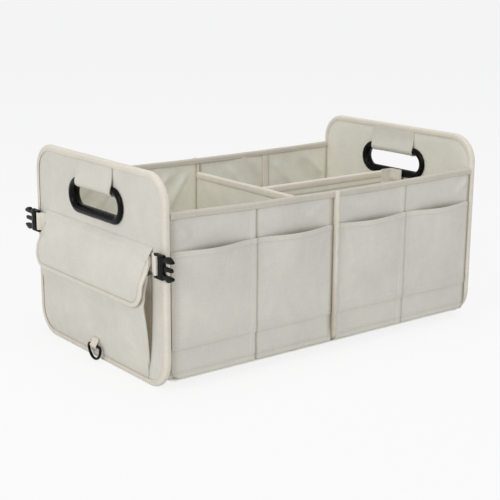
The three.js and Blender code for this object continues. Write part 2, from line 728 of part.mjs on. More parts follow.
function interior() {
  divider('cross_divider', 2 * (SIDE_INNER - GAP), SIDE_BOTTOM, (x, y, z) => [y, x, z]);
  const from = DIVIDER / 2 + GAP;
  const to = INNER_FACE - GRIP_PROUD - 2 * GAP;
  const onBoards = SIDE_BOTTOM + BASE_BOARD + GAP;
  divider('long_divider', to - from, onBoards, (x, y, z) => [(from + to) / 2 + x, LONG_DIVIDER_Y + y, z]);
  add('long_divider_tab', endTab(to - END_TAB_WIDTH), fastener, inside);
  const floor = rectangle(-SIDE_END, -SIDE_FACE, SIDE_END, SIDE_FACE);
  add('base_cloth', upward(floor, BASE_Z, BASE_Z + BASE_CLOTH), lining, inside);
  for (const [half, label] of [[-1, 'left'], [1, 'right']]) {
    const side = SIDE_INNER - 3 * GAP;
    const shape = rectangle(DIVIDER / 2 + 2 * GAP, -side, SIDE_END - GAP, side);
    const place = (x, y, z) => [half * x, y, z];
    add(`base_board_${label}`, upward(shape, SIDE_BOTTOM, SIDE_BOTTOM + BASE_BOARD), board, place);
  }
}

for (const [end, label] of [[-1, 'left'], [1, 'right']]) {
  endPanel(end, label);
  handle(end, label);
}
for (const [side, face] of [[-1, 'front'], [1, 'back']]) {
  for (const [half, label] of [[-1, 'left'], [1, 'right']]) {
    halfSide(half, side, `${face}_${label}`);
  }
  sideBinding(side, face);
  centreSeam(side, face);
  maleBuckle(face, side);
  femaleBuckle(face, side);
  webbingTab(`webbing_male_${face}`, -1, side, MALE_BAR);
  webbingTab(`webbing_female_${face}`, 1, side, FEMALE_BAR);
}
endPocket();
pocketFlap();
loopStrip();
dRing();
interior();

// The origin lies on the floor, below the middle of everything.
const box = new THREE.Box3().setFromObject(organizer);
organizer.position.x = -(box.min.x + box.max.x) / 2;

export default organizer;
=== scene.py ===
"""Folding car trunk organizer: cloth, bindings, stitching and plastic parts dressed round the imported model."""
import json
import math

import bmesh
import bpy
import numpy as np
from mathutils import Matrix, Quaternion, Vector
from mathutils.geometry import delaunay_2d_cdt

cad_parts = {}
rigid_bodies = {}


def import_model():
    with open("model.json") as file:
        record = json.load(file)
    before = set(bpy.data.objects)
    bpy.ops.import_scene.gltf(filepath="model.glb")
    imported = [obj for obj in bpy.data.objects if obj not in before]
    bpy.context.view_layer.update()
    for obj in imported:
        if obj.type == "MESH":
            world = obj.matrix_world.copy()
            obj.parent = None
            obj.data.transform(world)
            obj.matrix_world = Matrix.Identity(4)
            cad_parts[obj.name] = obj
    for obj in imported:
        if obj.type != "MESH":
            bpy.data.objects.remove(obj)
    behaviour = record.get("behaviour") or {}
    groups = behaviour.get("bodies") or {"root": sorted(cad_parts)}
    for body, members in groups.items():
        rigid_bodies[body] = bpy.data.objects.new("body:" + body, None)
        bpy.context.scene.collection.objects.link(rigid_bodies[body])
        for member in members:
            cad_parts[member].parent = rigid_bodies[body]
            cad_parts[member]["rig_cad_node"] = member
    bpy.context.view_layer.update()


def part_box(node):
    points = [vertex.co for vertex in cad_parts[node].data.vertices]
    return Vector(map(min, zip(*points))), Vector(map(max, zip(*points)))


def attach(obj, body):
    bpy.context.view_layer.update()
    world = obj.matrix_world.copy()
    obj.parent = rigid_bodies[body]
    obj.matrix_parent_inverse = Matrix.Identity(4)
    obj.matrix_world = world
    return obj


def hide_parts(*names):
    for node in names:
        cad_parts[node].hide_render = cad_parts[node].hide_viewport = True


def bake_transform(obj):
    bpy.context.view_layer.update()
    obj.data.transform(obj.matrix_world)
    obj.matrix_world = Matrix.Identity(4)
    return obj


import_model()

# ---- sizes in millimetres, as in the model ----
GAP, CLOTH, BOARD, SIDE_BOARD, TAPE, TAPE_WIDTH = 0.3, 1.4, 3.0, 2.0, 0.9, 8.0
WIDTH, HEIGHT, CORNER = 330.0, 277.0, 40.0
SIDE_BOTTOM, SIDE_TOP, SIDE_SAG, SIDE_CORNER, FOLD_AT, SEAM_PROUD = 16.0, 230.0, 3.4, 14.0, 134.0, 6.0
SIDE_START, POCKET_START, FINE_FROM, FINE_TO = 2.8, 3.4, FOLD_AT - 12, FOLD_AT + 12
CHAMBERS = [(14.0, 127.0), (143.0, 258.0)]
POCKET_BOTTOM, POCKET_LIP, LIP_SAG, LIP_GAPE, HEM_WIDTH = 54.0, 181.0, 1.0, 8.0, 7.0
POCKET_RISE, END_POCKET_RISE = POCKET_LIP - POCKET_BOTTOM, 138.0
HANDLE_LENGTH, HANDLE_HEIGHT, HANDLE_Z, GRIP_WIDTH, GRIP_PROUD, COLLAR = 138.0, 49.0, 220.0, 11.5, 6.5, 3.0
STRAP_WIDTH, STRAP, GRIP_CROWN = 90.0, 1.2, 4.6
EP_BOTTOM, EP_TOP, EP_WIDTH, EP_TAPER, EP_DEPTH, EP_TUCK, EP_BULGE = 9.5, 148.0, 266.0, 12.0, 13.8, 3.0, 1.7
FLAP_WIDTH, FLAP_THICK, FLAP_RIM, FLAP_CORNER, FLAP_BULGE = 274.0, 3.0, 0.8, 22.0, 5.0
FLAP_HINGE, FLAP_TIP, FLAP_STITCH_IN = (4.5, 173.0), (21.0, 108.0), 4.0
WEBBING_WIDTH, WEBBING, BUCKLE_Z, BUCKLE_WIDTH, BAR_RADIUS = 25.0, 1.3, 165.0, 31.7, 1.7
MALE_BAR, FEMALE_BAR = (152.0, 6.0), (108.0, 5.4)
DIVIDER_TOP, FASTENER_HALF, RING_WIRE = 205.0, 35.0, 1.9
TAB_WIDTH, TAB, STITCH_DOWN, BAR_OVERLAP, PLATE, SHELL, SHELL_WALL = 15.0, 1.0, 6.2, 1.4, 2.5, 4.5, 2.4


def node_box(name):
    lo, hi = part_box(name)
    return np.array(lo) * 1000, np.array(hi) * 1000


X0 = float((node_box("centre_seam_front")[0][0] + node_box("centre_seam_front")[1][0]) / 2)
FACE = {-1: float(node_box("end_panel_left_cloth")[0][0]), 1: float(node_box("end_panel_right_cloth")[1][0])}
SIDE_FACE = float(node_box("side_cloth_back_left")[1][1])
SIDE_END = float(node_box("side_cloth_back_right")[1][0]) - X0
EDGE = TAPE + GAP
PANEL = BOARD + 2 * (CLOTH + TAPE + 2 * GAP)
SIDE_STACK = SIDE_BOARD + 2 * (CLOTH + GAP)
INNER_FACE = SIDE_END + GAP + EDGE
HOLE_R = HANDLE_HEIGHT / 2 - GRIP_WIDTH
HOLE_HALF = HANDLE_LENGTH / 2 - GRIP_WIDTH

# ---- local frames: a across the face, o out of it, u up ----


def stack(x, y, z):
    return np.stack(np.broadcast_arrays(x, y, z), -1).astype(float)


def on_end(end, hand=1):
    return lambda a, o, u: stack(FACE[end] + end * np.asarray(o), hand * np.asarray(a), u)


def on_side(half, side):
    return lambda a, o, u: stack(X0 + half * np.asarray(a), side * (SIDE_FACE + np.asarray(o)), u)


def in_box(a, o, u):
    return stack(X0 + np.asarray(a), o, u)


# ---- smooth repeatable noise and soft steps ----


def lattice(ix, iy, seed):
    h = (ix * 374761393 + iy * 668265263 + seed * 974634777) & 0xFFFFFFFF
    h = ((h ^ (h >> 13)) * 1274126177) & 0xFFFFFFFF
    return ((h ^ (h >> 16)) & 0xFFFF) / 32767.5 - 1


def noise(a, u, seed):
    ia, iu = np.floor(a).astype(np.int64), np.floor(u).astype(np.int64)
    fa, fu = a - ia, u - iu
    fa, fu = (f**3 * (f * (f * 6 - 15) + 10) for f in (fa, fu))
    low, high = (lattice(ia, v, seed) * (1 - fa) + lattice(ia + 1, v, seed) * fa for v in (iu, iu + 1))
    return low * (1 - fu) + high * fu


def fbm(a, u, scale, seed):
    octaves = 3
    a, u = np.asarray(a, float) / scale, np.asarray(u, float) / scale
    total = sum(noise(a * 2.03**k + 17.3 * k, u * 2.03**k - 9.1 * k, seed + k) * 0.5**k for k in range(octaves))
    return total / sum(0.5**k for k in range(octaves))


def bump(x, width):
    return np.exp(-((np.asarray(x) / width) ** 2))


def smoothstep(x, low, high):
    t = np.clip((np.asarray(x, float) - low) / (high - low), 0, 1)
    return t * t * (3 - 2 * t)


def folds(a, u, lines):
    """Soft creases: each line is (a0, u0, a1, u1, width, height)."""
    total = np.zeros(np.broadcast(a, u).shape)
    for a0, u0, a1, u1, width, height in lines:
        da, du = a1 - a0, u1 - u0
        length = math.hypot(da, du)
        t = ((a - a0) * da + (u - u0) * du) / length**2
        off = ((a - a0) * du - (u - u0) * da) / length
        total = total + height * bump(off, width) * smoothstep(t, -0.1, 0.25) * (1 - smoothstep(t, 0.75, 1.1))
    return total


# ---- materials ----


class Graph:
    def __init__(self, owner):
        owner.use_nodes = True
        self.owner, self.tree = owner, owner.node_tree
        self.shader = self.tree.nodes.get("Principled BSDF")

    def add(self, kind, inputs=(), **settings):
        node = self.tree.nodes.new(kind)
        for key, value in settings.items():
            setattr(node, key, value)
        for key, value in dict(inputs).items():
            self.feed(node.inputs[key], value)
        return node

    def feed(self, socket, value):
        if isinstance(value, bpy.types.NodeSocket):
            self.tree.links.new(value, socket)
        else:
            socket.default_value = value

    def shade(self, **inputs):
        """Sets the shader's sockets, with underscores for the spaces in their names."""
        for key, value in inputs.items():
            self.feed(self.shader.inputs[key.replace("_", " ")], value)

    def math(self, operation, *values):
        return self.add("ShaderNodeMath", dict(enumerate(values)), operation=operation).outputs[0]

    def times(self, a, b):
        return self.math("MULTIPLY", a, b)

    def place(self, *stretch):
        """Position on the object, stretched along its axes where three factors are given."""
        place = self.add("ShaderNodeTexCoord").outputs["Object"]
        return self.stretch(place, stretch) if stretch else place

    def stretch(self, vector, factors):
        return self.add("ShaderNodeVectorMath", {0: vector, 1: factors}, operation="MULTIPLY").outputs[0]

    def noise(self, vector, scale, detail=2.0, roughness=0.5):
        inputs = {"Vector": vector, "Scale": scale, "Detail": detail, "Roughness": roughness}
        return self.add("ShaderNodeTexNoise", inputs).outputs["Fac"]

    def spread(self, value, low, high, start=0.3, end=0.7):
        return self.add("ShaderNodeMapRange", {"Value": value, "From Min": start, "From Max": end,
                                               "To Min": low, "To Max": high}).outputs[0]

    def mix(self, factor, a, b, kind="RGBA", **settings):
        first, out = (6, 2) if kind == "RGBA" else (2, 0)
        inputs = {0: factor, first: a, first + 1: b}
        return self.add("ShaderNodeMix", inputs, data_type=kind, **settings).outputs[out]

    def tint(self, colour, *factors):
        colour = (*colour, 1.0)
        for factor in factors:
            colour = self.mix(1.0, colour, factor, blend_type="MULTIPLY")
        return colour

    def bumps(self, *layers):
        normal = {}
        for height, strength, distance in layers:
            inputs = {"Height": height, "Strength": strength, "Distance": distance, **normal}
            normal = {"Normal": self.add("ShaderNodeBump", inputs).outputs[0]}
        self.shade(**normal)


def fabric(name, colour, pitch, depth, ribs=0.0, patches=0.05, sheen=0.12, rough=(0.82, 0.98)):
    """Woven cloth: over-and-under threads, uneven yarn, soft tonal patches, and painted shade that darkens it towards
    brown where the mesh marks it.
    """
    g = Graph(bpy.data.materials.new(name))
    uv, place = g.add("ShaderNodeUVMap", uv_map="cloth").outputs[0], g.place()
    part = g.add("ShaderNodeSeparateXYZ", {0: uv}).outputs
    x, y = (g.math("DIVIDE", part[k], pitch) for k in (0, 1))
    over_x, over_y = (g.math("ABSOLUTE", g.math("SINE", g.times(v, math.pi))) for v in (x, y))
    cell = g.math("MODULO", g.math("ADD", g.math("FLOOR", x), g.math("FLOOR", y)), 2.0)
    odd = g.math("GREATER_THAN", g.math("ABSOLUTE", cell), 0.5)
    warp, weft = (g.times(g.math("POWER", over, 0.6), g.spread(under, 0.55, 1.0, 0.0, 1.0))
                  for over, under in ((over_x, over_y), (over_y, over_x)))
    height = g.mix(odd, warp, weft, "FLOAT")
    if ribs:
        height = g.math("ADD", g.times(height, 1 - ribs), g.times(over_x, ribs))
    along, across = (g.noise(g.stretch(uv, way), 0.7 / pitch, 1.0) for way in ((1.0, 0.04, 1.0), (0.04, 1.0, 1.0)))
    yarn = g.times(g.math("ADD", along, across), 0.5)
    soft, worn, fibre = (g.noise(place, *grain) for grain in (
        (14.0, 3.0, 0.55), (60.0, 4.0, 0.65), (900.0, 2.0, 0.6)))
    # painted shade: a per-point attribute of the mesh mixes the colour towards a dark brown
    painted_shade = g.add("ShaderNodeAttribute", attribute_name="painted_shade").outputs["Fac"]
    colour = g.tint(colour, g.spread(soft, 1 - patches, 1 + patches), g.spread(yarn, 0.95, 1.05),
                    g.spread(height, 0.93, 1.03, 0.0, 1.0),
                    g.mix(painted_shade, (1.0, 1.0, 1.0, 1.0), (0.40, 0.345, 0.275, 1.0)),
                    g.spread(worn, 0.985, 1.01, 0.35, 0.65))
    g.shade(Base_Color=colour, Roughness=g.spread(fibre, *rough), Sheen_Weight=sheen, Sheen_Roughness=0.5,
            Specular_IOR_Level=0.3)
    g.bumps((soft, 0.15, 0.004), (worn, 0.1, 0.0008), (height, 0.45, depth), (fibre, 0.2, 0.0001))
    return g.owner


def fuzzy(name, colour):
    """Loop tape: a dense field of tiny loops."""
    g = Graph(bpy.data.materials.new(name))
    place = g.place()
    cells = g.add("ShaderNodeTexVoronoi", {"Vector": place, "Scale": 1100.0}).outputs["Distance"]
    soft = g.noise(place, 160.0, 4.0, 0.7)
    g.shade(Base_Color=g.tint(colour, g.spread(cells, 1.05, 0.75, 0.0, 0.6), g.spread(soft, 0.9, 1.06)),
            Roughness=g.spread(soft, 0.88, 1.0), Sheen_Weight=0.3)
    g.bumps((cells, 0.8, 0.0006), (soft, 0.4, 0.0008))
    return g.owner


def moulded(name, colour, rough, grain=0.12):
    """Moulded plastic: fine grain, uneven gloss, faint handling marks."""
    g = Graph(bpy.data.materials.new(name))
    place = g.place()
    fine, broad = g.noise(place, 2400.0, 2.0, 0.5), g.noise(place, 45.0, 4.0, 0.6)
    marks = g.noise(g.place(0.25, 1.0, 1.6), 420.0, 3.0, 0.7)
    gloss = g.math("ADD", g.spread(broad, rough - 0.06, rough + 0.08), g.spread(marks, -0.03, 0.05, 0.4, 0.7))
    g.shade(Base_Color=g.tint(colour, g.spread(broad, 0.8, 1.25), g.spread(marks, 0.9, 1.2, 0.35, 0.75)),
            Roughness=gloss, Specular_IOR_Level=0.12)
    g.bumps((broad, 0.06, 0.002), (fine, grain, 0.00006))
    return g.owner


CLOTH_TONE, LINING_TONE = (0.728, 0.70, 0.633), (0.83, 0.81, 0.715)
TAPE_TONE, SHADED_TAPE_TONE, WEB_TONE = (0.795, 0.74, 0.645), (0.635, 0.585, 0.505), (0.80, 0.755, 0.67)
cloth_mat = fabric("cloth", CLOTH_TONE, 0.00055, 0.00012)
lining_mat = fabric("lining", LINING_TONE, 0.00045, 0.00008, sheen=0.2, rough=(0.5, 0.66))
tape_mat = fabric("binding", TAPE_TONE, 0.0008, 0.00018, ribs=0.6, patches=0.03)
# the binding's cloth again in a darker tone: painted shade for the top bindings of the walls
shaded_tape_mat = fabric("top_binding", SHADED_TAPE_TONE, 0.0008, 0.00018, ribs=0.6, patches=0.03)
web_mat = fabric("webbing", WEB_TONE, 0.0016, 0.0004, ribs=0.3, patches=0.03)
thread_mat = fabric("thread", (0.74, 0.70, 0.62), 0.0006, 0.0001, ribs=1.0)
loop_mat = fuzzy("loop_tape", (0.66, 0.63, 0.56))
black_mat = moulded("black_plastic", (0.0035, 0.0035, 0.0034), 0.26)
board_mat = moulded("stiffener", (0.55, 0.54, 0.50), 0.6, 0.3)
SLOTS = {cloth_mat: "cloth", lining_mat: "lining", tape_mat: "binding", shaded_tape_mat: "binding", thread_mat: "binding",
         web_mat: "webbing", loop_mat: "fastener_tape", black_mat: "black_plastic"}

# ---- points ----


def run_of(points):
    """Length along a line of points."""
    return np.concatenate([[0], np.cumsum(np.linalg.norm(np.diff(points, axis=0), axis=1))])


def flat_size(*sizes):
    return tuple(round(float(size) / 1000, 4) for size in sizes)


def unit(vectors):
    return vectors / np.linalg.norm(vectors, axis=-1, keepdims=True)


def spans(*parts):
    """Joined ranges of (start, end, count), each but the last without its end."""
    return np.concatenate([np.linspace(*part, endpoint=part is parts[-1]) for part in parts])


def quarter(count, first=1):
    """Angles of a quarter turn."""
    return np.linspace(0, math.pi / 2, count)[first:]


def arc(x, y, wide, high, angles):
    return [(x + wide * math.cos(w), y + high * math.sin(w)) for w in angles]


def circle(count, radius):
    return np.array(arc(0, 0, radius, radius, np.arange(count) * 2 * math.pi / count))


def nearest(values, value):
    return int(np.argmin(np.abs(values - value)))


def mirrored(line, *signs):
    line = np.array(line)
    return np.vstack([line, (line * signs)[::-1]])


# ---- mesh building ----


def put(name, data):
    obj = bpy.data.objects.new(name, data)
    bpy.context.scene.collection.objects.link(obj)
    return obj


def build(name, verts, faces, mat, body="root", replaces=(), slot=None, uv=None, face_uv=None, painted_shade=None,
          sharp=48.0):
    me = bpy.data.meshes.new(name)
    me.from_pydata((np.asarray(verts, float) / 1000).tolist(), [], [list(map(int, f)) for f in faces])
    corners = np.empty(len(me.loops), np.int32)
    me.loops.foreach_get("vertex_index", corners)
    layer = me.uv_layers.new(name="cloth")
    if face_uv is not None:
        layer.data.foreach_set("uv", (np.asarray(face_uv, float) / 1000).ravel())
    elif uv is not None:
        layer.data.foreach_set("uv", (np.asarray(uv, float)[corners] / 1000).ravel())
    # painted shade per point, which the cloth materials turn into darker colour
    if painted_shade is not None:
        held = me.attributes.new("painted_shade", "FLOAT", "POINT")
        held.data.foreach_set("value", np.asarray(painted_shade, np.float32))
    bm = bmesh.new()
    bm.from_mesh(me)
    bmesh.ops.recalc_face_normals(bm, faces=bm.faces)
    bm.to_mesh(me)
    bm.free()
    me.shade_smooth()
    me.set_sharp_from_angle(angle=math.radians(sharp))
    me.materials.append(mat)
    obj = put(name, me)
    if body:
        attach(obj, body)
    if replaces:
        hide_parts(*([replaces] if isinstance(replaces, str) else replaces))
    slot or SLOTS[mat]
    return obj


def resample(points, step):
    """Points along a closed line, evenly spaced on each of its sides."""
    pts = np.asarray(points, float)
    out = []
    for p, q in zip(pts, np.roll(pts, -1, 0)):
        count = max(1, int(round(np.linalg.norm(q - p) / step)))
        out.extend(p + (q - p) * k / count for k in range(count))
    return np.array(out)


def even(points, step):
    """Points evenly spaced along an open line."""
    pts = np.asarray(points, float)
    run = run_of(pts)
    s = np.linspace(0, run[-1], max(2, int(round(run[-1] / step)) + 1))
    return np.stack([np.interp(s, run, pts[:, k]) for k in range(pts.shape[1])], -1)


def curved(points, step=1.0):
    """A smooth line through the points, evenly spaced."""
    p = np.asarray(points, float)
    p = np.vstack([2 * p[0] - p[1], p, 2 * p[-1] - p[-2]])
    out = []
    for k in range(1, len(p) - 2):
        t = np.linspace(0, 1, 12, endpoint=False)[:, None]
        a, b, c, d = p[k - 1], p[k], p[k + 1], p[k + 2]
        out.append(0.5 * (2 * b + (c - a) * t + (2 * a - 5 * b + 4 * c - d) * t**2 + (3 * b - a - 3 * c + d) * t**3))
    return even(np.vstack([*out, p[-2][None]]), step)


def rounded_box(half, low, high, radius, steps=10):
    pts = []
    for quarter, (x, z) in enumerate([(half - radius, high - radius), (radius - half, high - radius),
                                      (radius - half, low + radius), (half - radius, low + radius)]):
        for k in range(steps + 1):
            angle = (quarter + k / steps) * math.pi / 2
            pts.append((x + radius * math.cos(angle), z + radius * math.sin(angle)))
    return np.array(pts)


def inside(points, poly):
    x, y = points[:, 0], points[:, 1]
    hit = np.zeros(len(points), bool)
    for (x0, y0), (x1, y1) in zip(poly, np.roll(poly, -1, 0)):
        if y0 != y1:
            crosses = (y0 > y) != (y1 > y)
            hit ^= crosses & (x < (x1 - x0) * (y - y0) / (y1 - y0) + x0)
    return hit


def within(points, loops):
    """Which points lie in the first loop and outside the others."""
    keep = inside(points, loops[0])
    for loop in loops[1:]:
        keep &= ~inside(points, loop)
    return keep


def triangulate(outline, holes, step):
    loops = [resample(outline, step), *[resample(h, step) for h in holes]]
    edges, count = [], 0
    for loop in loops:
        n = len(loop)
        edges += [(count + k, count + (k + 1) % n) for k in range(n)]
        count += n
    rim = np.vstack(loops)
    lo, hi = rim.min(0), rim.max(0)
    rows = np.arange(lo[1] + step / 2, hi[1], step * 0.87)
    grid = np.array([(x + (step / 2 if k % 2 else 0), y) for k, y in enumerate(rows)
                     for x in np.arange(lo[0], hi[0], step)])
    grid = grid[within(grid, loops)]
    near = np.min(np.linalg.norm(grid[:, None] - rim[None], axis=2), axis=1)
    grid = grid[near > 0.5 * step]
    points = [Vector(p) for p in np.vstack([rim, grid])]
    verts, _, tris, *_ = delaunay_2d_cdt(points, edges, [], 0, 1e-5)
    verts = np.array([tuple(v) for v in verts])
    tris = np.array([tuple(t) for t in tris if len(t) == 3])
    return verts, tris[within(verts[tris].mean(1), loops)]


def flat_cloth(name, outline, holes, place, relief, thickness=CLOTH, step=5.0, **kw):
    """A cut cloth: its outer face lies at relief(a, u) out from the local plane."""
    flat, tris = triangulate(outline, holes, step)
    a, u = flat[:, 0], flat[:, 1]
    out = relief(a, u)
    verts = np.vstack([place(a, out, u), place(a, out - thickness, u)])
    n = len(flat)
    sides = dict.fromkeys((t[k], t[(k + 1) % 3]) for t in tris.tolist() for k in range(3))
    rim = [side for side in sides if side[::-1] not in sides]
    faces = [*tris.tolist(), *(tris[:, ::-1] + n).tolist(), *[(q, p, p + n, q + n) for p, q in rim]]
    return build(name, verts, faces, kw.pop("mat", cloth_mat), uv=np.vstack([flat, flat]),
                 painted_shade=np.zeros(2 * n), **kw)


def grid_cloth(name, middle, front, back, painted_shade=None, **kw):
    """A cloth on a grid of points: front and back are how far its two faces lie off them."""
    along = np.gradient(middle, axis=1)
    up = np.gradient(middle, axis=0)
    normal = np.cross(along, up)
    normal /= np.linalg.norm(normal, axis=2, keepdims=True) + 1e-12
    rows, cols = middle.shape[:2]
    outer = middle + normal * np.broadcast_to(front, (rows, cols))[..., None]
    inner = middle - normal * np.broadcast_to(back, (rows, cols))[..., None]
    k = np.arange(rows * cols).reshape(rows, cols)
    quads = np.stack([k[:-1, :-1], k[:-1, 1:], k[1:, 1:], k[1:, :-1]], -1).reshape(-1, 4)
    n = rows * cols
    edge = [*k[0, :], *k[1:, -1], *k[-1, -2::-1], *k[-2:0:-1, 0]]
    rim = [(edge[i], edge[i - 1], edge[i - 1] + n, edge[i] + n) for i in range(len(edge))]
    faces = [*quads.tolist(), *(quads[:, ::-1] + n).tolist(), *rim]
    uv = np.stack(np.meshgrid(run_of(middle[rows // 2]), run_of(middle[:, cols // 2])), -1)
    uv = np.tile(uv.reshape(-1, 2), (2, 1))
    shade = np.zeros(2 * n) if painted_shade is None else np.tile(np.clip(painted_shade, 0, 1).ravel(), 2)
    obj = build(name, np.vstack([outer.reshape(-1, 3), inner.reshape(-1, 3)]), faces, kw.pop("mat", cloth_mat),
                uv=uv, painted_shade=shade, **kw)
    return obj, outer, normal


def outward(grid, outer, normal, towards):
    """The face of a cloth on the side looked for, and its normals; towards is above 0 where outer is that side."""
    return (outer, normal) if towards > 0 else (2 * grid - outer, -normal)


def sweep(name, origin, side, out, section, closed=False, **kw):
    """A section of [side, out] points carried along stations."""
    origin = np.asarray(origin, float)
    side, out = (np.broadcast_to(np.asarray(v, float), origin.shape) for v in (side, out))
    section = np.asarray(section, float)
    if section.ndim == 2:
        section = np.broadcast_to(section, (len(origin), *section.shape))
    n, m = section.shape[:2]
    verts = origin[:, None] + side[:, None] * section[..., :1] + out[:, None] * section[..., 1:2]
    run = run_of(np.vstack([origin, origin[:1]]) if closed else origin)
    girth = run_of(np.vstack([section[0], section[0][:1]]))
    faces, face_uv = [], []
    for i in range(n if closed else n - 1):
        j = (i + 1) % n
        for k in range(m):
            q = (k + 1) % m
            faces.append((i * m + k, i * m + q, j * m + q, j * m + k))
            face_uv += [(run[i], girth[k]), (run[i], girth[k + 1]),
                        (run[i + 1], girth[k + 1]), (run[i + 1], girth[k])]
    if not closed:
        for i, order in ((0, range(m - 1, -1, -1)), (n - 1, range(m))):
            faces.append([i * m + k for k in order])
            face_uv += [tuple(section[i][k]) for k in order]
    return build(name, verts.reshape(-1, 3), faces, kw.pop("mat", tape_mat), face_uv=face_uv, **kw)


def stations(section, count):
    """The section once for each station, to be changed there."""
    return np.repeat(section[None], count, 0)


def thick_line(points, thickness):
    """The outline of a strip that follows a line, with rounded ends."""
    p = np.asarray(points, float)
    t = unit(np.gradient(p, axis=0))
    n = np.stack([-t[:, 1], t[:, 0]], -1) * thickness / 2
    cap = []
    for at, sign in ((len(p) - 1, 1), (0, -1)):
        base = math.atan2(sign * t[at, 1], sign * t[at, 0])
        cap.append([p[at] + thickness / 2 * np.array([math.cos(base + w), math.sin(base + w)])
                    for w in np.linspace(math.pi / 2, -math.pi / 2, 5)[1:-1]])
    return np.vstack([p + n, *cap[0], (p - n)[::-1], *cap[1]])


def stitches(name, path, normal, body="root", pitch=4.4, length=3.2, radius=0.42, closed=False):
    """A row of short raised stitches along a line on a cloth."""
    path = np.asarray(path, float)
    normal = np.broadcast_to(np.asarray(normal, float), path.shape)
    if closed:
        path, normal = np.vstack([path, path[:1]]), np.vstack([normal, normal[:1]])
    run = run_of(path)
    count = max(1, int(run[-1] / pitch))
    s = (np.arange(count) + 0.5) * run[-1] / count

    def at(values, where):
        return np.stack([np.interp(where, run, values[:, k]) for k in range(3)], -1)

    centre, n = at(path, s), at(normal, s)
    t = unit(at(path, np.minimum(s + 1, run[-1])) - at(path, np.maximum(s - 1, 0)))
    n = unit(n - t * (n * t).sum(1, keepdims=True))
    b = np.cross(t, n)
    verts = []
    for ahead, rise, size in ((-0.5, -0.35, 0.45), (-0.25, 0.25, 1.0), (0.25, 0.25, 1.0), (0.5, -0.35, 0.45)):
        middle = centre + t * ahead * length + n * rise * radius
        for w in np.arange(5) * 2 * math.pi / 5:
            verts.append(middle + (n * math.cos(w) * 0.7 + b * math.sin(w)) * radius * size)
    verts = np.stack(verts, 1)
    sides = [(r + k, r + (k + 1) % 5, r + 5 + (k + 1) % 5, r + 5 + k) for r in (0, 5, 10) for k in range(5)]
    faces = [tuple(20 * i + v for v in f) for i in range(count)
             for f in (*sides, (4, 3, 2, 1, 0), (15, 16, 17, 18, 19))]
    uv = np.tile([[r * length / 3, k] for r in range(4) for k in range(5)], (count, 1))
    return build(name, verts.reshape(-1, 3), faces, thread_mat, body, uv=uv)


def prism(name, outline, low, high, place, bevel, extra=(), **kw):
    """A plate with rounded edges: outline in (across, up), thickness outward; extra holds more such plates."""
    bm = bmesh.new()
    for shape, lo, hi in [(outline, low, high), *extra]:
        part = bmesh.new()
        foot = [part.verts.new((p[0], lo, p[1])) for p in shape]
        head = [part.verts.new((p[0], hi, p[1])) for p in shape]
        part.faces.new(foot)
        part.faces.new(head[::-1])
        for k in range(len(foot)):
            q = (k + 1) % len(foot)
            part.faces.new((foot[q], foot[k], head[k], head[q]))
        bmesh.ops.recalc_face_normals(part, faces=part.faces)
        if bevel:
            bmesh.ops.bevel(part, geom=part.edges[:], offset=bevel, segments=2, profile=0.6, affect="EDGES",
                            clamp_overlap=True)
        bmesh.ops.triangulate(part, faces=[f for f in part.faces if len(f.verts) > 4])
        temp = bpy.data.meshes.new("part")
        part.to_mesh(temp)
        part.free()
        bm.from_mesh(temp)
        bpy.data.meshes.remove(temp)
    bm.verts.index_update()
    verts = np.array([tuple(v.co) for v in bm.verts])
    faces = [[v.index for v in f.verts] for f in bm.faces]
    bm.free()
    uv = verts[:, [0, 2]]
    shade = kw.pop("shade", None)
    return build(name, place(verts[:, 0], verts[:, 1], verts[:, 2]), faces, kw.pop("mat", black_mat), uv=uv,
                 painted_shade=shade(verts[:, 2]) if shade else None, sharp=35.0, **kw)


# ---- end panels ----


def edge_distance(a, u, inset=EDGE):
    """Distance in from the panel's edge."""
    r = CORNER - inset
    qa = np.abs(a) - (WIDTH / 2 - inset - r)
    qu = np.abs(u - HEIGHT / 2) - (HEIGHT / 2 - inset - r)
    return r - (np.hypot(np.maximum(qa, 0), np.maximum(qu, 0)) + np.minimum(np.maximum(qa, qu), 0))


def loop_frame(place, path, level=0.0):
    """Origins and sideways directions for a sweep along a closed line, and those directions in its plane."""
    t, zero = unit(np.roll(path, -1, 0) - np.roll(path, 1, 0)), np.zeros(len(path))
    n2 = np.stack([t[:, 1], -t[:, 0]], -1)
    return place(path[:, 0], level + zero, path[:, 1]), place(n2[:, 0], zero, n2[:, 1]) - place(zero, zero, zero), n2


def distinct(points):
    keep = [0]
    for k in range(1, len(points)):
        if np.linalg.norm(points[k] - points[keep[-1]]) > 1e-6:
            keep.append(k)
    if np.linalg.norm(points[keep[-1]] - points[0]) < 1e-6:
        keep.pop()
    return points[keep]


def panel_relief(seed, inner):
    def relief(a, u):
        d = edge_distance(a, u)
        r = 0.45 * fbm(a, u, 110, seed) + 0.14 * fbm(a, u, 38, seed + 5)
        r = r + 0.45 * bump(d - 15, 9) - 0.1 * bump(d - 5, 5)
        near = np.hypot(np.maximum(np.abs(a) - HOLE_HALF + HOLE_R, 0), u - HANDLE_Z) - HOLE_R - GRIP_WIDTH
        r = r - 0.5 * bump(near, 7)
        return (r - (0.1 if inner else 0.35)) * smoothstep(d, 0, 6)
    return relief


def panel_outline(inset):
    return distinct(rounded_box(WIDTH / 2 - inset, inset, HEIGHT - inset, CORNER - inset, 12))


def grip_loop():
    return distinct(rounded_box(HOLE_HALF, HANDLE_Z - HOLE_R, HANDLE_Z + HOLE_R, HOLE_R, 14))


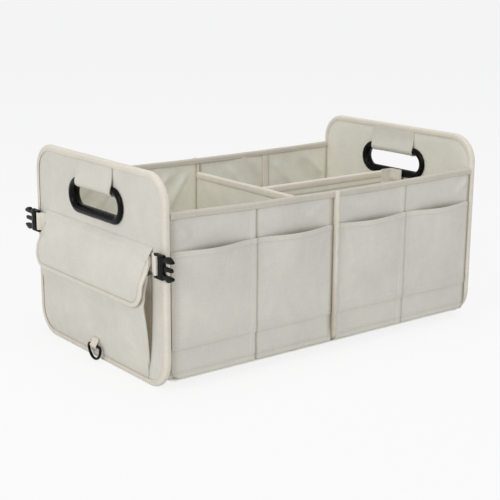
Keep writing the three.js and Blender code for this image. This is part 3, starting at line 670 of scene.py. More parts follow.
def end_panel(end, label):
    place = on_end(end)
    clear = COLLAR + GAP
    hole = distinct(rounded_box(HOLE_HALF + clear, HANDLE_Z - HOLE_R - clear, HANDLE_Z + HOLE_R + clear,
                                HOLE_R + clear, 10))
    outline = panel_outline(EDGE)
    thick = PANEL - 2 * EDGE
    outer = flat_cloth(f"panel_{label}_cloth", outline, [hole], place, panel_relief(11 + end, False),
                       replaces=f"end_panel_{label}_cloth")
    lining = flat_cloth(f"panel_{label}_lining", outline, [hole], lambda a, o, u: place(a, -thick - o, u),
                        panel_relief(31 + end, True), mat=lining_mat, replaces=f"end_panel_{label}_lining")
    path = distinct(resample(outline, 4.0))
    origin, side, n2 = loop_frame(place, path)
    wave = 0.22 * fbm(path[:, 0], path[:, 1], 26, 71 + end)
    half, turn = PANEL / 2 - TAPE / 2, 3.2
    bend = EDGE - TAPE / 2 - turn
    line = [(-TAPE_WIDTH + EDGE, half), (-4, half + 0.12), (bend, half),
            *arc(bend, half - turn, turn, turn, np.linspace(math.pi / 2, 0, 7)[1:])]
    section = thick_line(mirrored(line, 1, -1), TAPE)
    sections = stations(section, len(path))
    sections[..., 1] += np.sign(section[:, 1]) * (section[:, 0] < 0) * wave[:, None] - (PANEL / 2 - EDGE)
    band = sweep(f"panel_{label}_binding", origin, side, (end, 0, 0), sections, closed=True,
                 replaces=f"end_binding_{label}")
    at = path - n2 * (TAPE_WIDTH - EDGE - 2.2)
    rows = [stitches(f"panel_{label}_stitch_{name}", place(at[:, 0], level + sign * (wave + 0.05), at[:, 1]),
                     (sign * end, 0, 0), closed=True)
            for name, level, sign in (("front", EDGE, 1), ("back", EDGE - PANEL, -1))]


def handle(end, label):
    place = on_end(end)
    origin, side, _ = loop_frame(place, resample(grip_loop(), 4.0))
    middle = -(CLOTH + GAP + BOARD / 2)
    tube, foot_o, ledge = GRIP_WIDTH / 2, middle + GAP / 2, 0.8
    section = np.array([(COLLAR, foot_o), (COLLAR, GAP), (GRIP_WIDTH - 0.3, GAP),
                        *arc(tube, ledge, tube, GRIP_CROWN - ledge, quarter(8, 0)),
                        *arc(tube, foot_o, tube, GRIP_CROWN - foot_o, np.linspace(math.pi / 2, math.pi, 12)[1:])])
    for name, sec in (("outer", section), ("inner", section * (1, -1) + (0, 2 * middle))):
        sweep(f"grip_{label}_{name}", origin, side, (end, 0, 0), sec, closed=True, mat=black_mat,
              replaces=f"handle_{label}_{name}", sharp=40.0)
    # cloth strap over the upper bar
    foot = HANDLE_Z + HOLE_R
    lift = GAP + STRAP / 2 + 0.1
    line = [(lift, HEIGHT - TAPE_WIDTH - GAP), (lift + 0.8, foot + GRIP_WIDTH + 12),
            (lift + 2.4, foot + GRIP_WIDTH + 4.2), (GRIP_CROWN * 0.8 + lift, foot + 0.9 * GRIP_WIDTH + lift * 0.3),
            (GRIP_CROWN + lift, foot + tube)]
    line += [(o, z) for z, o in arc(foot + tube, foot_o, tube + lift, GRIP_CROWN - foot_o + lift,
                                    np.radians([112, 132, 150, 165]))]
    line += [(middle, foot - lift)]
    line = np.vstack([line, [(2 * middle - o, z) for o, z in line[-2::-1]]])
    path = curved(line, 1.6)
    across = np.linspace(-STRAP_WIDTH / 2, STRAP_WIDTH / 2, 46)
    a, row = np.meshgrid(across, np.arange(len(path)))
    o, z = path[row, 0], path[row, 1]
    face = np.sign(o - middle)
    high = smoothstep(z, foot + GRIP_WIDTH, foot + GRIP_WIDTH + 12)
    soft = (0.35 * fbm(a, z + 60 * face, 30, 91 + end) + 0.2) * high * face
    pinch = 1 - 0.015 * bump(z - foot, 9)
    drape = 0.9 * (a / (STRAP_WIDTH / 2)) ** 2 * bump(z - foot, 8)
    edge = smoothstep(np.abs(a), STRAP_WIDTH / 2 - 5.5, STRAP_WIDTH / 2 - 4.5)
    grid = place(a * pinch, o + soft, z - drape * 0.4)
    strap, outer, normal = grid_cloth(
        f"strap_{label}", grid, STRAP / 2 + 0.35 * edge, STRAP / 2, replaces=f"handle_strap_{label}")
    outer, normal = outward(grid, outer, normal, normal[4, 20, 0] * end)
    rows = [stitches(f"strap_{label}_stitch_{name}", outer[:, col] + normal[:, col] * 0.1, normal[:, col])
            for name, col in (("a", 2), ("b", -3))]
    flat_size(STRAP_WIDTH, run_of(path)[-1])


# ---- long sides ----


def side_top(a):
    return SIDE_TOP - SIDE_SAG * (1 - (np.asarray(a) / SIDE_END) ** 2)


def side_sheet(name, half, side, relief, painted_shade, face, **kw):
    """One layer of a side half, on a grid that is finer at its fold; face is its level and facing."""
    place = on_side(half, side)
    level, way = face
    a = np.concatenate([spans((SIDE_START, FINE_FROM, 26), (FINE_FROM, FINE_TO, 36),
                              (FINE_TO, SIDE_END - SIDE_CORNER, 22)),
                        SIDE_END - SIDE_CORNER * (1 - np.sin(quarter(12)))])
    rise = SIDE_CORNER - np.sqrt(np.maximum(0, SIDE_CORNER**2 - np.maximum(0, a - SIDE_END + SIDE_CORNER) ** 2))
    A, V = np.meshgrid(a, spans((0, 0.06, 8), (0.06, 0.66, 32), (0.66, 0.84, 18), (0.84, 1, 12)))
    low = SIDE_BOTTOM + rise
    U = low + (side_top(a) - EDGE - low) * V
    out = level + way * relief(A, U)
    grid, shade = place(A, out, U), painted_shade(A, U)
    if half * side * way > 0:
        grid, shade = grid[:, ::-1], shade[:, ::-1]
    obj, *_ = grid_cloth(name, grid, 0.0, CLOTH, painted_shade=shade, **kw)
    return obj


def fold_groove(a, half, depth=1.3):
    off = (np.asarray(a) - FOLD_AT) * -half
    return -depth * bump(off, 1.5) + 0.9 * smoothstep(off, 1.5, 2.5) * (1 - smoothstep(off, 8.5, 10))


def swell_at(a):
    """How far the pocket's lip stands open along the wall, 0 to 1."""
    swell = np.zeros_like(a)
    for (low, high), skew in zip(CHAMBERS, (0.9, 1.1)):
        t = np.clip((a - low) / (high - low), 0, 1)
        swell = np.maximum(swell, np.sin(math.pi * t**skew) ** 1.1)
    return swell


def wall_shade(a, half):
    """Painted shade on the wall's cloth: at its fold, beside the centre seam and beside the end panel."""
    fold, seam, corner, reach = (0.5, 1.0, 0.4, 9) if half < 0 else (0.3, 0.15, 0.95, 4)
    return fold * bump(a - FOLD_AT, 2.0), seam * bump(a - SIDE_START, 4.2), corner * bump(a - SIDE_END, reach)


def side_half(half, side):
    label = f"{'front' if side < 0 else 'back'}_{'left' if half < 0 else 'right'}"
    seed = 200 + 10 * half + 3 * side
    place = on_side(half, side)

    def outer_relief(a, u):
        r = 0.5 * fbm(a, u, 90, seed) + 0.16 * fbm(a, u, 32, seed + 4)
        r = r + 0.5 * bump(u - 30, 9) - 0.6 * bump(u - 23, 1.6)
        r = r + folds(a, u, [(262, 216, 240, 195, 5, 3.0), (247, 219, 226, 198, 6, -1.4), (20, 214, 46, 194, 5, 1.3)])
        r = np.maximum(r, -0.8) + fold_groove(a, half)
        return (r - 0.3) * smoothstep(a, SIDE_START, 8) - 0.2

    def inner_relief(a, u):
        r = 1.1 * fbm(a + 0.9 * u, 0.45 * (u - 0.9 * a), 40, seed + 9) + 0.35 * fbm(a, u, 24, seed + 12)
        r = r + folds(a, u, [(20, 208, 62, 150, 4, 2.0), (36, 208, 84, 150, 3.4, -1.7), (52, 209, 104, 158, 4, 1.7),
                             (150, 206, 196, 160, 4.6, 1.8), (172, 210, 226, 168, 4, -1.6),
                             (215, 212, 258, 176, 4.6, 1.7), (70, 120, 30, 60, 8, 1.0), (230, 130, 180, 70, 9, 1.0)])
        ends = smoothstep(a, SIDE_START, 14) * (1 - smoothstep(a, SIDE_END - 8, SIDE_END))
        return np.clip(1.9 * r, -1.0, 3.2) * ends + 0.1

    # painted shade on the outer cloth: at the fold, seam and end panel, inside the pocket's open lip, and along the low
    # groove
    def shade(a, u):
        fold, root, corner = wall_shade(a, half)
        slot = 0.6 * swell_at(a) ** 1.5 * bump(u - POCKET_LIP + 4, 5)
        return fold + root * smoothstep(u, 18, 40) + corner + slot + 0.12 * bump(u - 23, 1.5)

    # painted shade on the lining: beside the seam, the end panel and the fold tape, and following its wrinkles
    def shade_inside(a, u):
        painted_wrinkle_shade = 0.3 * np.clip(fbm(a + 0.9 * u, 0.45 * (u - 0.9 * a), 40, seed + 9) - 0.1, 0, 1)
        return (0.75 * bump(a - SIDE_START, 3.0) + 0.7 * bump(a - SIDE_END, 3.0)
                + 0.35 * bump(np.abs(a - FOLD_AT) - 6.5, 1.3) + painted_wrinkle_shade)

    outer = side_sheet(f"side_{label}_cloth", half, side, outer_relief, shade, (0.0, 1),
                       replaces=f"side_cloth_{label}")
    lining = side_sheet(f"side_{label}_lining", half, side, inner_relief, shade_inside, (-SIDE_STACK, -1),
                        mat=lining_mat, replaces=f"side_lining_{label}")
    u = np.linspace(SIDE_BOTTOM + 5, float(side_top(FOLD_AT)) - TAPE_WIDTH - 0.5, 60)
    a = FOLD_AT - 1.5 + 0.4 * fbm(u, u * 0, 60, seed + 2)
    tape = sweep(f"side_{label}_fold_tape", place(a, -SIDE_STACK - inner_relief(a, u) - 0.9, u), (half, 0, 0),
                 (0, -side, 0), thick_line([(-5, 0), (-4, 0.15), (0, 0.3), (4, 0.15), (5, 0)], TAPE))
    side_pocket(half, side, label, seed)


def side_pocket(half, side, label, seed):
    place = on_side(half, side)
    a = spans((POCKET_START, FINE_FROM, 52), (FINE_FROM, FINE_TO, 36), (FINE_TO, SIDE_END - 0.4, 58))
    rows = spans((0, 0.94, 46), (0.94, 1, 9))
    A, V = np.meshgrid(a, rows)
    S = np.broadcast_to(swell_at(a), A.shape)
    lip = POCKET_LIP - LIP_SAG * S
    U = POCKET_BOTTOM + (lip - POCKET_BOTTOM) * V
    out = GAP + LIP_GAPE * S * (0.6 * V**0.8 + 0.4 * V**2.2)
    out = out + (0.9 * fbm(A, U, 60, seed + 20) + 0.3 * fbm(A, U, 24, seed + 24)) * np.minimum(1, 3 * S) * V**0.4
    ripple = 0
    for (lo, hi) in CHAMBERS:
        ripple = ripple + folds(A, U, [
            (lo + 6, 172, lo + 20, 128, 5, 0.9), (hi - 5, 174, hi - 18, 132, 5, 0.9),
            ((lo + hi) / 2 - 14, 174, (lo + hi) / 2 - 8, 120, 9, -0.9), (lo + 10, 62, lo + 26, 100, 6, 0.8),
            (hi - 8, 60, hi - 24, 98, 6, 0.7)])
    out = out + ripple * np.minimum(1, 3 * S + 0.1) + 0.55 * bump(U - 64, 2.2) - 0.2
    out = np.maximum(out + fold_groove(A, half, 1.2), GAP - 0.9)
    hem_edge = 1 - HEM_WIDTH / POCKET_RISE
    hem = smoothstep(V, hem_edge - 0.006, hem_edge)
    seam = bump(V * POCKET_RISE - 12, 1.2)
    # painted shade: the wall's, plus thin lines along the foot seam and the hem's edge
    painted_shade = sum(wall_shade(A, half)) + 0.08 * seam + 0.08 * bump((1 - V) * POCKET_RISE - HEM_WIDTH, 0.8)
    ends = smoothstep(A, POCKET_START, 9) * (1 - smoothstep(A, SIDE_END - 5, SIDE_END - 0.4))
    front = (CLOTH + 0.5 * hem - 0.25 * seam) * (0.3 + 0.7 * smoothstep(V * POCKET_RISE, 0, 5)) * (0.3 + 0.7 * ends)
    way = -1 if half * side > 0 else 1
    obj, outer, normal = grid_cloth(f"pocket_{label}", place(A, out, U)[:, ::way], front[:, ::way], 0.0,
                                    painted_shade=painted_shade[:, ::way], replaces=f"side_pocket_{label}")
    for name, level in (("hem", POCKET_RISE - HEM_WIDTH + 1.2), ("foot", 3)):
        row = nearest(rows * POCKET_RISE, level)
        stitches(f"pocket_{label}_stitch_{name}", outer[row], normal[row])
    for name, x in (("centre", CHAMBERS[0][0] - 3), ("fold", FOLD_AT - 8.5 * half), ("end", CHAMBERS[1][1] + 3)):
        col = nearest(a[::way], x)
        stitches(f"pocket_{label}_stitch_{name}", outer[2:, col], normal[2:, col])


def side_binding(side, label):
    place = on_side(1, side)
    a = np.linspace(-SIDE_END, SIDE_END, 190)
    wave = 0.3 * fbm(a, a * 0 + 40 * side, 45, 301 + side)
    rise = 0.5 * fbm(a, a * 0 + 11, 70, 311 + side)
    middle, half, turn = -SIDE_STACK / 2, SIDE_STACK / 2 + EDGE - TAPE / 2, 2.6
    line = [(half, -TAPE_WIDTH), (half + 0.15, -TAPE_WIDTH / 2), (half, -TAPE / 2 - turn),
            *arc(half - turn, -TAPE / 2 - turn, turn, turn, quarter(6))]
    section = stations(thick_line(mirrored(line, -1, 1), TAPE), len(a))
    section[..., 0] += np.sign(section[..., 0]) * wave[:, None] + middle
    section[..., 1] += rise[:, None]
    # painted shade: the top binding uses the darker copy of the binding's cloth
    sweep(f"top_binding_{label}", place(a, 0 * a, side_top(a)), (0, side, 0), (0, 0, 1), section, mat=shaded_tape_mat,
          replaces=f"side_binding_{label}")
    for name, sign in (("out", 1), ("in", -1)):
        level = middle + sign * (half + TAPE / 2 + wave + 0.1)
        stitches(f"top_stitch_{label}_{name}", place(a, level, side_top(a) - STITCH_DOWN + rise), (0, sign * side, 0))


def centre_seam(side, label):
    top, low, turn = float(side_top(0)), SIDE_BOTTOM, 9.0
    edge = arc(SEAM_PROUD - turn, low + turn, turn, turn, np.linspace(-math.pi / 2, 0, 8))
    edge += [(SEAM_PROUD + 0.35 * math.sin(k * 1.7), low + turn + (top - low - turn) * k / 24) for k in range(1, 25)]
    under = top - TAPE_WIDTH - GAP
    outline = [*edge, (EDGE + GAP, top), (EDGE + GAP, under), (-SIDE_STACK, under), (-SIDE_STACK, low)]
    # the outline is drawn in (out, up), with the thickness along the wall
    place = on_side(1, side)
    # painted shade on the seam's binding: deep at its foot, fading out towards mid-height
    prism(f"seam_{label}", outline, -2.5, 2.5, lambda x, y, z: place(y, x, z), bevel=1.1, mat=tape_mat,
          shade=lambda u: 0.85 * (1 - smoothstep(u, low + 1, low + 8)) + 0.3 * (1 - smoothstep(u, 50, 130)),
          replaces=f"centre_seam_{label}")
    u = np.linspace(low + 8, top - 4, 50)
    for name, sign in (("left", -1), ("right", 1)):
        stitches(f"seam_{label}_stitch_{name}", place(sign * 2.55 + 0 * u, 2.6 + 0 * u, u), (sign, 0, 0))


# ---- end pocket and flap ----


def pocket_depth(z):
    z = np.asarray(z, float)
    share = (z - EP_BOTTOM) / (EP_TOP - EP_BOTTOM)
    opened = np.clip((z - EP_BOTTOM) / (FLAP_TIP[1] - EP_BOTTOM), 0, 1)
    bulge = EP_BULGE * (1 - smoothstep(z, FLAP_TIP[1], FLAP_TIP[1] + 10))
    return (EP_DEPTH + bulge) * opened**1.15 - EP_TUCK * np.maximum(0, (share - 0.7) / 0.3) ** 2


def end_pocket():
    place = on_end(-1)
    rows = spans((0, 0.06, 5), (0.06, 0.94, 56), (0.94, 1, 8))
    z = EP_BOTTOM + (EP_TOP - EP_BOTTOM) * rows
    width = EP_WIDTH / 2 - EP_TAPER * (1 - rows) ** 3
    depth = pocket_depth(z)
    t = np.linspace(0, 1, 14)
    turn = np.linspace(0, math.pi / 2, 6)[1:-1]
    front = np.linspace(-1, 1, 110)
    grid = []
    for k in range(len(rows)):
        w, d = width[k], depth[k]
        r = min(1.6, 0.3 * d + 0.05)
        pull = 5.5 * np.sin(math.pi * t) * min(1, d / EP_DEPTH)
        gusset = stack(pull - w + 0.4, GAP + (d - r) * t, z[k])
        corner = stack(r - w - r * np.cos(turn), GAP + d - r + r * np.sin(turn), z[k])
        face = stack(front * (w - r), GAP + d, z[k])
        grid.append(np.vstack([gusset, corner, face, (corner * (-1, 1, 1))[::-1], (gusset * (-1, 1, 1))[::-1]]))
    grid = np.array(grid)
    A, O, Z = grid[..., 0], grid[..., 1], grid[..., 2]
    on_front = smoothstep(O / np.maximum(depth[:, None], 0.5), 0.9, 1.0) * smoothstep(rows, 0, 0.12)[:, None]
    belly = 1.3 * (1 - (A / (EP_WIDTH / 2)) ** 2) * np.sin(math.pi * rows)[:, None]
    r = 0.9 * fbm(A, Z, 80, 401) + 0.35 * fbm(A, Z, 30, 407)
    r = r + folds(A, Z, [(-118, 30, -70, 60, 7, 1.0), (118, 28, 64, 58, 7, 1.0), (-30, 18, -16, 60, 6, 0.8),
                         (34, 18, 18, 66, 6, 0.8), (-80, 112, -30, 74, 9, 0.9), (70, 116, 30, 70, 9, -0.8)])
    O = O + (belly + r - 0.6) * on_front
    O = GAP + (O - GAP) * (1 - 0.25 * smoothstep(np.abs(A), 104, 130) * smoothstep(Z, 122, 146))
    hem_edge = 1 - HEM_WIDTH / END_POCKET_RISE
    hem = smoothstep(rows, hem_edge - 0.01, hem_edge)[:, None]
    # painted shade: deep in the folded-in gussets, less near the top, and a thin line along the bottom seam
    column = np.abs(np.linspace(-1, 1, A.shape[1]))
    gusset = smoothstep(column, 1 - 2 * 15 / A.shape[1], 1 - 2 * 9 / A.shape[1])[None]
    depth_shade = (smoothstep(depth, 0.5, 5) * (1 - 0.45 * smoothstep(z, 118, 142)))[:, None]
    painted_shade = 0.95 * gusset * depth_shade + 0.25 * bump(Z - EP_BOTTOM, 2.0)
    obj, outer, normal = grid_cloth("end_pocket_bag", place(A, O, Z)[:, ::-1], (CLOTH + 0.5 * hem) * np.ones_like(A), 0,
                                    painted_shade=painted_shade[:, ::-1], replaces="end_pocket")
    lines = [stitches(f"end_pocket_stitch_{name}", outer[4:, col], normal[4:, col])
             for name, col in (("left", 18), ("right", A.shape[1] - 19))]
    lines.append(stitches("end_pocket_stitch_foot", outer[3, 14:-14], normal[3, 14:-14]))


def flap_point(share, lift=0.0):
    (ho, hz), (to, tz) = FLAP_HINGE, FLAP_TIP
    length = math.hypot(to - ho, tz - hz)
    n = ((hz - tz) / length, (to - ho) / length)
    rise = 4 * FLAP_BULGE * share * (1 - share) + lift
    return ho + (to - ho) * share + n[0] * rise, hz + (tz - hz) * share + n[1] * rise, length


def flap():
    place = on_end(-1)
    arc_length = flap_point(0.0)[2] * 1.02
    total = arc_length + 2.0
    s = np.concatenate([np.linspace(0, total - FLAP_CORNER, 34, endpoint=False),
                        total - FLAP_CORNER + FLAP_CORNER * np.sin(np.linspace(0, math.pi / 2, 26))])
    left = total - s
    half = FLAP_WIDTH / 2 - FLAP_CORNER + np.sqrt(np.maximum(
        0, FLAP_CORNER**2 - np.maximum(0, FLAP_CORNER - left) ** 2)) - 1.5 * (1 - smoothstep(s, 0, 24))
    t = np.linspace(-1, 1, 130)
    T, S = np.meshgrid(np.sign(t) * np.abs(t) ** 0.85, s)
    A = T * half[:, None]
    share = S / arc_length
    d = np.minimum(FLAP_WIDTH / 2 - np.abs(A), total - S)
    corner = (np.abs(A) > FLAP_WIDTH / 2 - FLAP_CORNER) & (total - S < FLAP_CORNER)
    dc = FLAP_CORNER - np.hypot(np.abs(A) - (FLAP_WIDTH / 2 - FLAP_CORNER), FLAP_CORNER - (total - S))
    d = np.where(corner, dc, d)
    r = 0.9 * fbm(A, S, 90, 501) + 0.3 * fbm(A, S, 34, 505)
    r = r + folds(A, S, [(-130, 6, -96, 34, 6, 0.9), (130, 6, 100, 30, 6, 0.9), (-60, 4, -40, 30, 7, 0.7),
                         (52, 4, 66, 34, 7, -0.6), (-20, 62, 30, 58, 5, 0.5)])
    droop = -1.6 * smoothstep(np.abs(A), 96, 137) * smoothstep(S, 8, 50)
    droop = droop - 4.2 * smoothstep(np.abs(A), 116, 137) * smoothstep(S, 1, 9) * (1 - smoothstep(S, 20, 42))
    lift = (r - 0.3) * smoothstep(S, 1, 16) * smoothstep(d, 0, 12) + droop + 0.5 * bump(d - 11, 5)
    O, Z, _ = flap_point(share, lift)
    grid = place(A, O, Z)
    rim = (1 - smoothstep(d, 5.8, 6.6)) * smoothstep(S, 0, 3)
    thick = (FLAP_THICK / 2) * (0.55 + 0.45 * smoothstep(d, 0, 1.4)) + FLAP_RIM * rim * smoothstep(d, 0, 1.2)
    # painted shade: a line along the inner edge of the bound rim, and along the hinge
    painted_shade = 0.45 * bump(d - 6.6, 0.9) + 0.2 * bump(S, 3)
    obj, outer, normal = grid_cloth("flap_cover", grid, thick, thick, painted_shade=painted_shade, body="flap",
                                    replaces="pocket_flap")
    obj.data.materials.append(tape_mat)
    on_rim = np.tile(((d < 6.0) & (S > 2)).ravel(), 2)
    for face in obj.data.polygons:
        face.material_index = int(on_rim[list(face.vertices)].all())
    skin, way = outward(grid, outer, normal, -normal[20, 60, 0])
    return obj, skin, way, A, s, total


def flap_parts():
    obj, skin, way, A, s_axis, total = flap()
    start = 3.0
    r, edge = FLAP_CORNER - FLAP_STITCH_IN, FLAP_WIDTH / 2 - FLAP_STITCH_IN
    path = [(edge, v) for v in np.linspace(start, total - FLAP_CORNER, 24)]
    path += arc(edge - r, total - FLAP_CORNER, r, r, quarter(12))
    path += [(v, total - FLAP_STITCH_IN) for v in np.linspace(edge - r, r - edge, 70)[1:-1]]
    path += [(-x, y) for x, y in path[33::-1]]
    rows, cols = A.shape
    points, normals = [], []
    for a, s in path:
        row = np.interp(s, s_axis, np.arange(rows))
        i = min(int(row), rows - 2)
        f = row - i
        p, n = [], []
        for j in (i, i + 1):
            col = np.interp(a, A[j], np.arange(cols))
            c = min(int(col), cols - 2)
            g = col - c
            p.append(skin[j, c] * (1 - g) + skin[j, c + 1] * g)
            n.append(way[j, c])
        points.append(p[0] * (1 - f) + p[1] * f)
        normals.append(n[0])
    row = stitches("flap_stitch", points, normals, body="flap")
    # hook strip under the flap
    share = np.linspace(0.62, 0.86, 9)
    line = np.array([flap_point(v, -FLAP_THICK / 2 - FLAP_RIM * 0.2 - 0.95)[:2] for v in share])
    t = unit(np.gradient(line, axis=0))
    place, zero = on_end(-1), np.zeros(len(line))
    out = place(zero, -t[:, 1], t[:, 0]) - place(zero, 0, 0)
    hooks = sweep("flap_hook_strip", place(zero, line[:, 0], line[:, 1]), (0, 1, 0), out,
                  rounded_box(FASTENER_HALF, -0.7, 0.7, 0.5, 3), mat=loop_mat, body="flap")
    flat_size(FLAP_WIDTH, total)


def seam_strip():
    lo, hi = node_box("flap_seam_strip")
    half, low, high = (hi[1] - lo[1]) / 2, lo[2], hi[2]
    depth = hi[0] - lo[0]
    outline = rounded_box(half, low, high, 2.0, 4)
    obj = flat_cloth("seam_strip", outline, [], on_end(-1),
                     lambda a, u: GAP + depth - 0.95 * smoothstep(u, high - 5, high) + 0.1 * fbm(a, u, 20, 3),
                     thickness=depth, step=3.0, replaces="flap_seam_strip")
    place = on_end(-1)
    a = np.linspace(-half + 3, half - 3, 60)
    row = stitches("seam_strip_stitch", place(a, GAP + depth - 0.05 + 0 * a, high - 2.5 + 0 * a), (-1, 0, 0))


def flap_fold():
    """The flap's cloth where it turns off the panel, over the hinge line."""
    line = curved([(0.1, 183.2), (0.8, 181.6), (1.9, 179.8), (3.5, 177.8), (5.2, 175.4), (6.6, 172.4), (7.6, 169.4),
                   (8.0, 168.0)], 0.7)
    a = np.linspace(1 - FLAP_WIDTH / 2, FLAP_WIDTH / 2 - 1, 120)
    A, K = np.meshgrid(a, np.arange(len(line)))
    share = K / (len(line) - 1)
    lift = 0.25 * fbm(A, share * 12, 30, 551) * np.sin(math.pi * share)
    grid = on_end(-1)(A, line[K, 0] + lift, line[K, 1])
    obj, *_ = grid_cloth("flap_fold", grid, 0.45, 0.45, body=None)
    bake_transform(obj)


def loop_strip():
    lo, hi = node_box("pocket_loop_strip")
    z = np.linspace(lo[2] + 0.6, hi[2] - 0.6, 8)
    o = GAP + pocket_depth(z) + CLOTH + GAP + 0.75 + 0.5
    sweep("pocket_loop_tape", on_end(-1)(np.zeros(len(z)), o, z), (0, 1, 0), (-1, 0, 0),
          rounded_box(FASTENER_HALF, -0.75, 0.75, 0.5, 3), mat=loop_mat, replaces="pocket_loop_strip")


# ---- webbing, buckles, ring ----


def strip_in_plane(name, line, place, width, thickness, axis, mat, **kw):
    """A tape that follows a line in a plane; place maps (p, q, w) with w across the tape."""
    path = curved(line, 0.9)
    t, zero = unit(np.gradient(path, axis=0)), np.zeros(len(path))
    base = place(zero, zero, zero)
    return sweep(name, place(path[:, 0], path[:, 1], zero + axis), place(zero, zero, zero + 1) - base,
                 place(-t[:, 1], t[:, 0], zero) - base,
                 rounded_box(width / 2, -thickness / 2, thickness / 2, thickness * 0.42, 3), mat=mat, **kw)


def webbing(name, end, hand, bar, node):
    place = on_end(end, hand)
    bx, by = bar
    low = GAP + WEBBING / 2
    high = low + WEBBING + GAP
    radius = BAR_RADIUS + GAP + WEBBING / 2
    line = [(bx - 30, low), (bx - 20, low), (bx - 9, low),
            *arc(bx, by, radius, radius, np.radians(np.linspace(-77, 132, 8))),
            (bx - 7.5, high + 0.4), (bx - 13.5, high)]
    strip_in_plane(name, line, place, WEBBING_WIDTH, WEBBING, BUCKLE_Z, web_mat, replaces=node)
    u = np.linspace(-9.5, 9.5, 9) + BUCKLE_Z
    for k, x in enumerate((bx - 12.2, bx - 10.0)):
        stitches(f"{name}_stitch_{k}", place(x + 0 * u, high + WEBBING / 2 + 0 * u, u), (end, 0, 0), pitch=2.6,
                 length=2.0)


def join(obj, other):
    """Both meshes become one piece."""
    bm = bmesh.new()
    bm.from_mesh(obj.data)
    bm.from_mesh(other.data)
    bm.to_mesh(obj.data)
    bm.free()
    bpy.data.objects.remove(other)


def buckle_base(end, hand, bar):
    place = on_end(end, hand)
    return lambda x, y, z: place(bar[0] + np.asarray(x), bar[1] + np.asarray(y), BUCKLE_Z + np.asarray(z))


BUCKLE_HALF, RAIL = BUCKLE_WIDTH / 2, WEBBING_WIDTH / 2 + 0.6
RAIL_SHAPE = [(-2.2, RAIL), (7, RAIL), (7, BUCKLE_HALF), (-1.2, BUCKLE_HALF), (-2.2, BUCKLE_HALF - 1)]


def both(points, low, high):
    """A plate of a buckle, with its mirror image across the webbing."""
    return [(points, low, high), ([(x, -z) for x, z in points][::-1], low, high)]


def cross_bar(spot, body):
    half = WEBBING_WIDTH / 2 + BAR_OVERLAP
    return prism("bar", circle(16, BAR_RADIUS), -half, half, lambda x, y, z: spot(x, z, y), bevel=0.0, body=body)


def male(label, hand):
    spot = buckle_base(-1, hand, MALE_BAR)
    body, h = f"male_{label}", BUCKLE_HALF
    yoke = [(6.2, -h), (16.5, -h), (18, -h + 1.5), (18, h - 1.5), (16.5, h), (6.2, h)]
    arm = [(16, 7.2), (16, 13.6), (20, 13.2), (22.5, 13.2), (24, h - 0.3), (26, h), (29.5, h - 0.2), (33, 14.4),
           (36.6, 12.2), (38, 10.4), (37.2, 9.0), (34, 8.2), (28, 7.8), (21, 7.8), (18, 7.2)]
    tongue = [(16, -3.8), (19, -3.1), (34, -2.7), (36.5, -1.4), (36.5, 1.4), (34, 2.7), (19, 3.1), (16, 3.8)]
    end = h - SHELL_WALL
    ridges = [([(x, -end), (x + 1.8, -end), (x + 1.8, end), (x, end)], 2.0, 3.0) for x in (8.2, 12.4)]
    obj = prism(f"male_buckle_{label}", yoke, -PLATE, PLATE, spot, bevel=0.7, body=body,
                extra=[*both(RAIL_SHAPE, -PLATE, PLATE), *both(arm, -2.3, 2.3), (tongue, -1.5, 1.5), *ridges],
                replaces=f"buckle_male_{label}")
    join(obj, cross_bar(spot, body))


def female(label, hand):
    spot = buckle_base(1, hand, FEMALE_BAR)
    body, h = f"female_{label}", BUCKLE_HALF
    end, root, hollow = 33.0, 12.0, 2.8
    yoke = [(6.2, -h), (root, -h), (root, h), (6.2, h)]
    plate = [(root - 1, -h), (end - 2.5, -h), (end, 2.5 - h), (end, -7), (end - 4.5, -4), (end - 5.5, 0),
             (end - 4.5, 4), (end, 7), (end, h - 2.5), (end - 2.5, h), (root - 1, h)]
    back = [(root - 1, -h), (end - 2.5, -h), (end, 2.5 - h), (end, h - 2.5), (end - 2.5, h), (root - 1, h)]
    near = [(root - 1, h - SHELL_WALL), (root + 3, h - SHELL_WALL), (root + 3, h), (root - 1, h)]
    far = [(end - 7, h - SHELL_WALL), (end - 0.8, h - SHELL_WALL), (end - 1.6, h), (end - 7, h)]
    ribs = [([(x, -7), (x + 1.4, -7), (x + 1.4, 7), (x, 7)], 4.0, 5.0) for x in (14, 17.4, 20.8)]
    obj = prism(f"female_buckle_{label}", yoke, -SHELL, SHELL, spot, bevel=0.6, body=body,
                extra=[*both(RAIL_SHAPE, -SHELL, SHELL), (plate, hollow, SHELL), (back, -SHELL, -hollow),
                       *both(near, -3.2, 3.2), *both(far, -3.2, 3.2), *ribs],
                replaces=f"buckle_female_{label}")
    join(obj, cross_bar(spot, body))


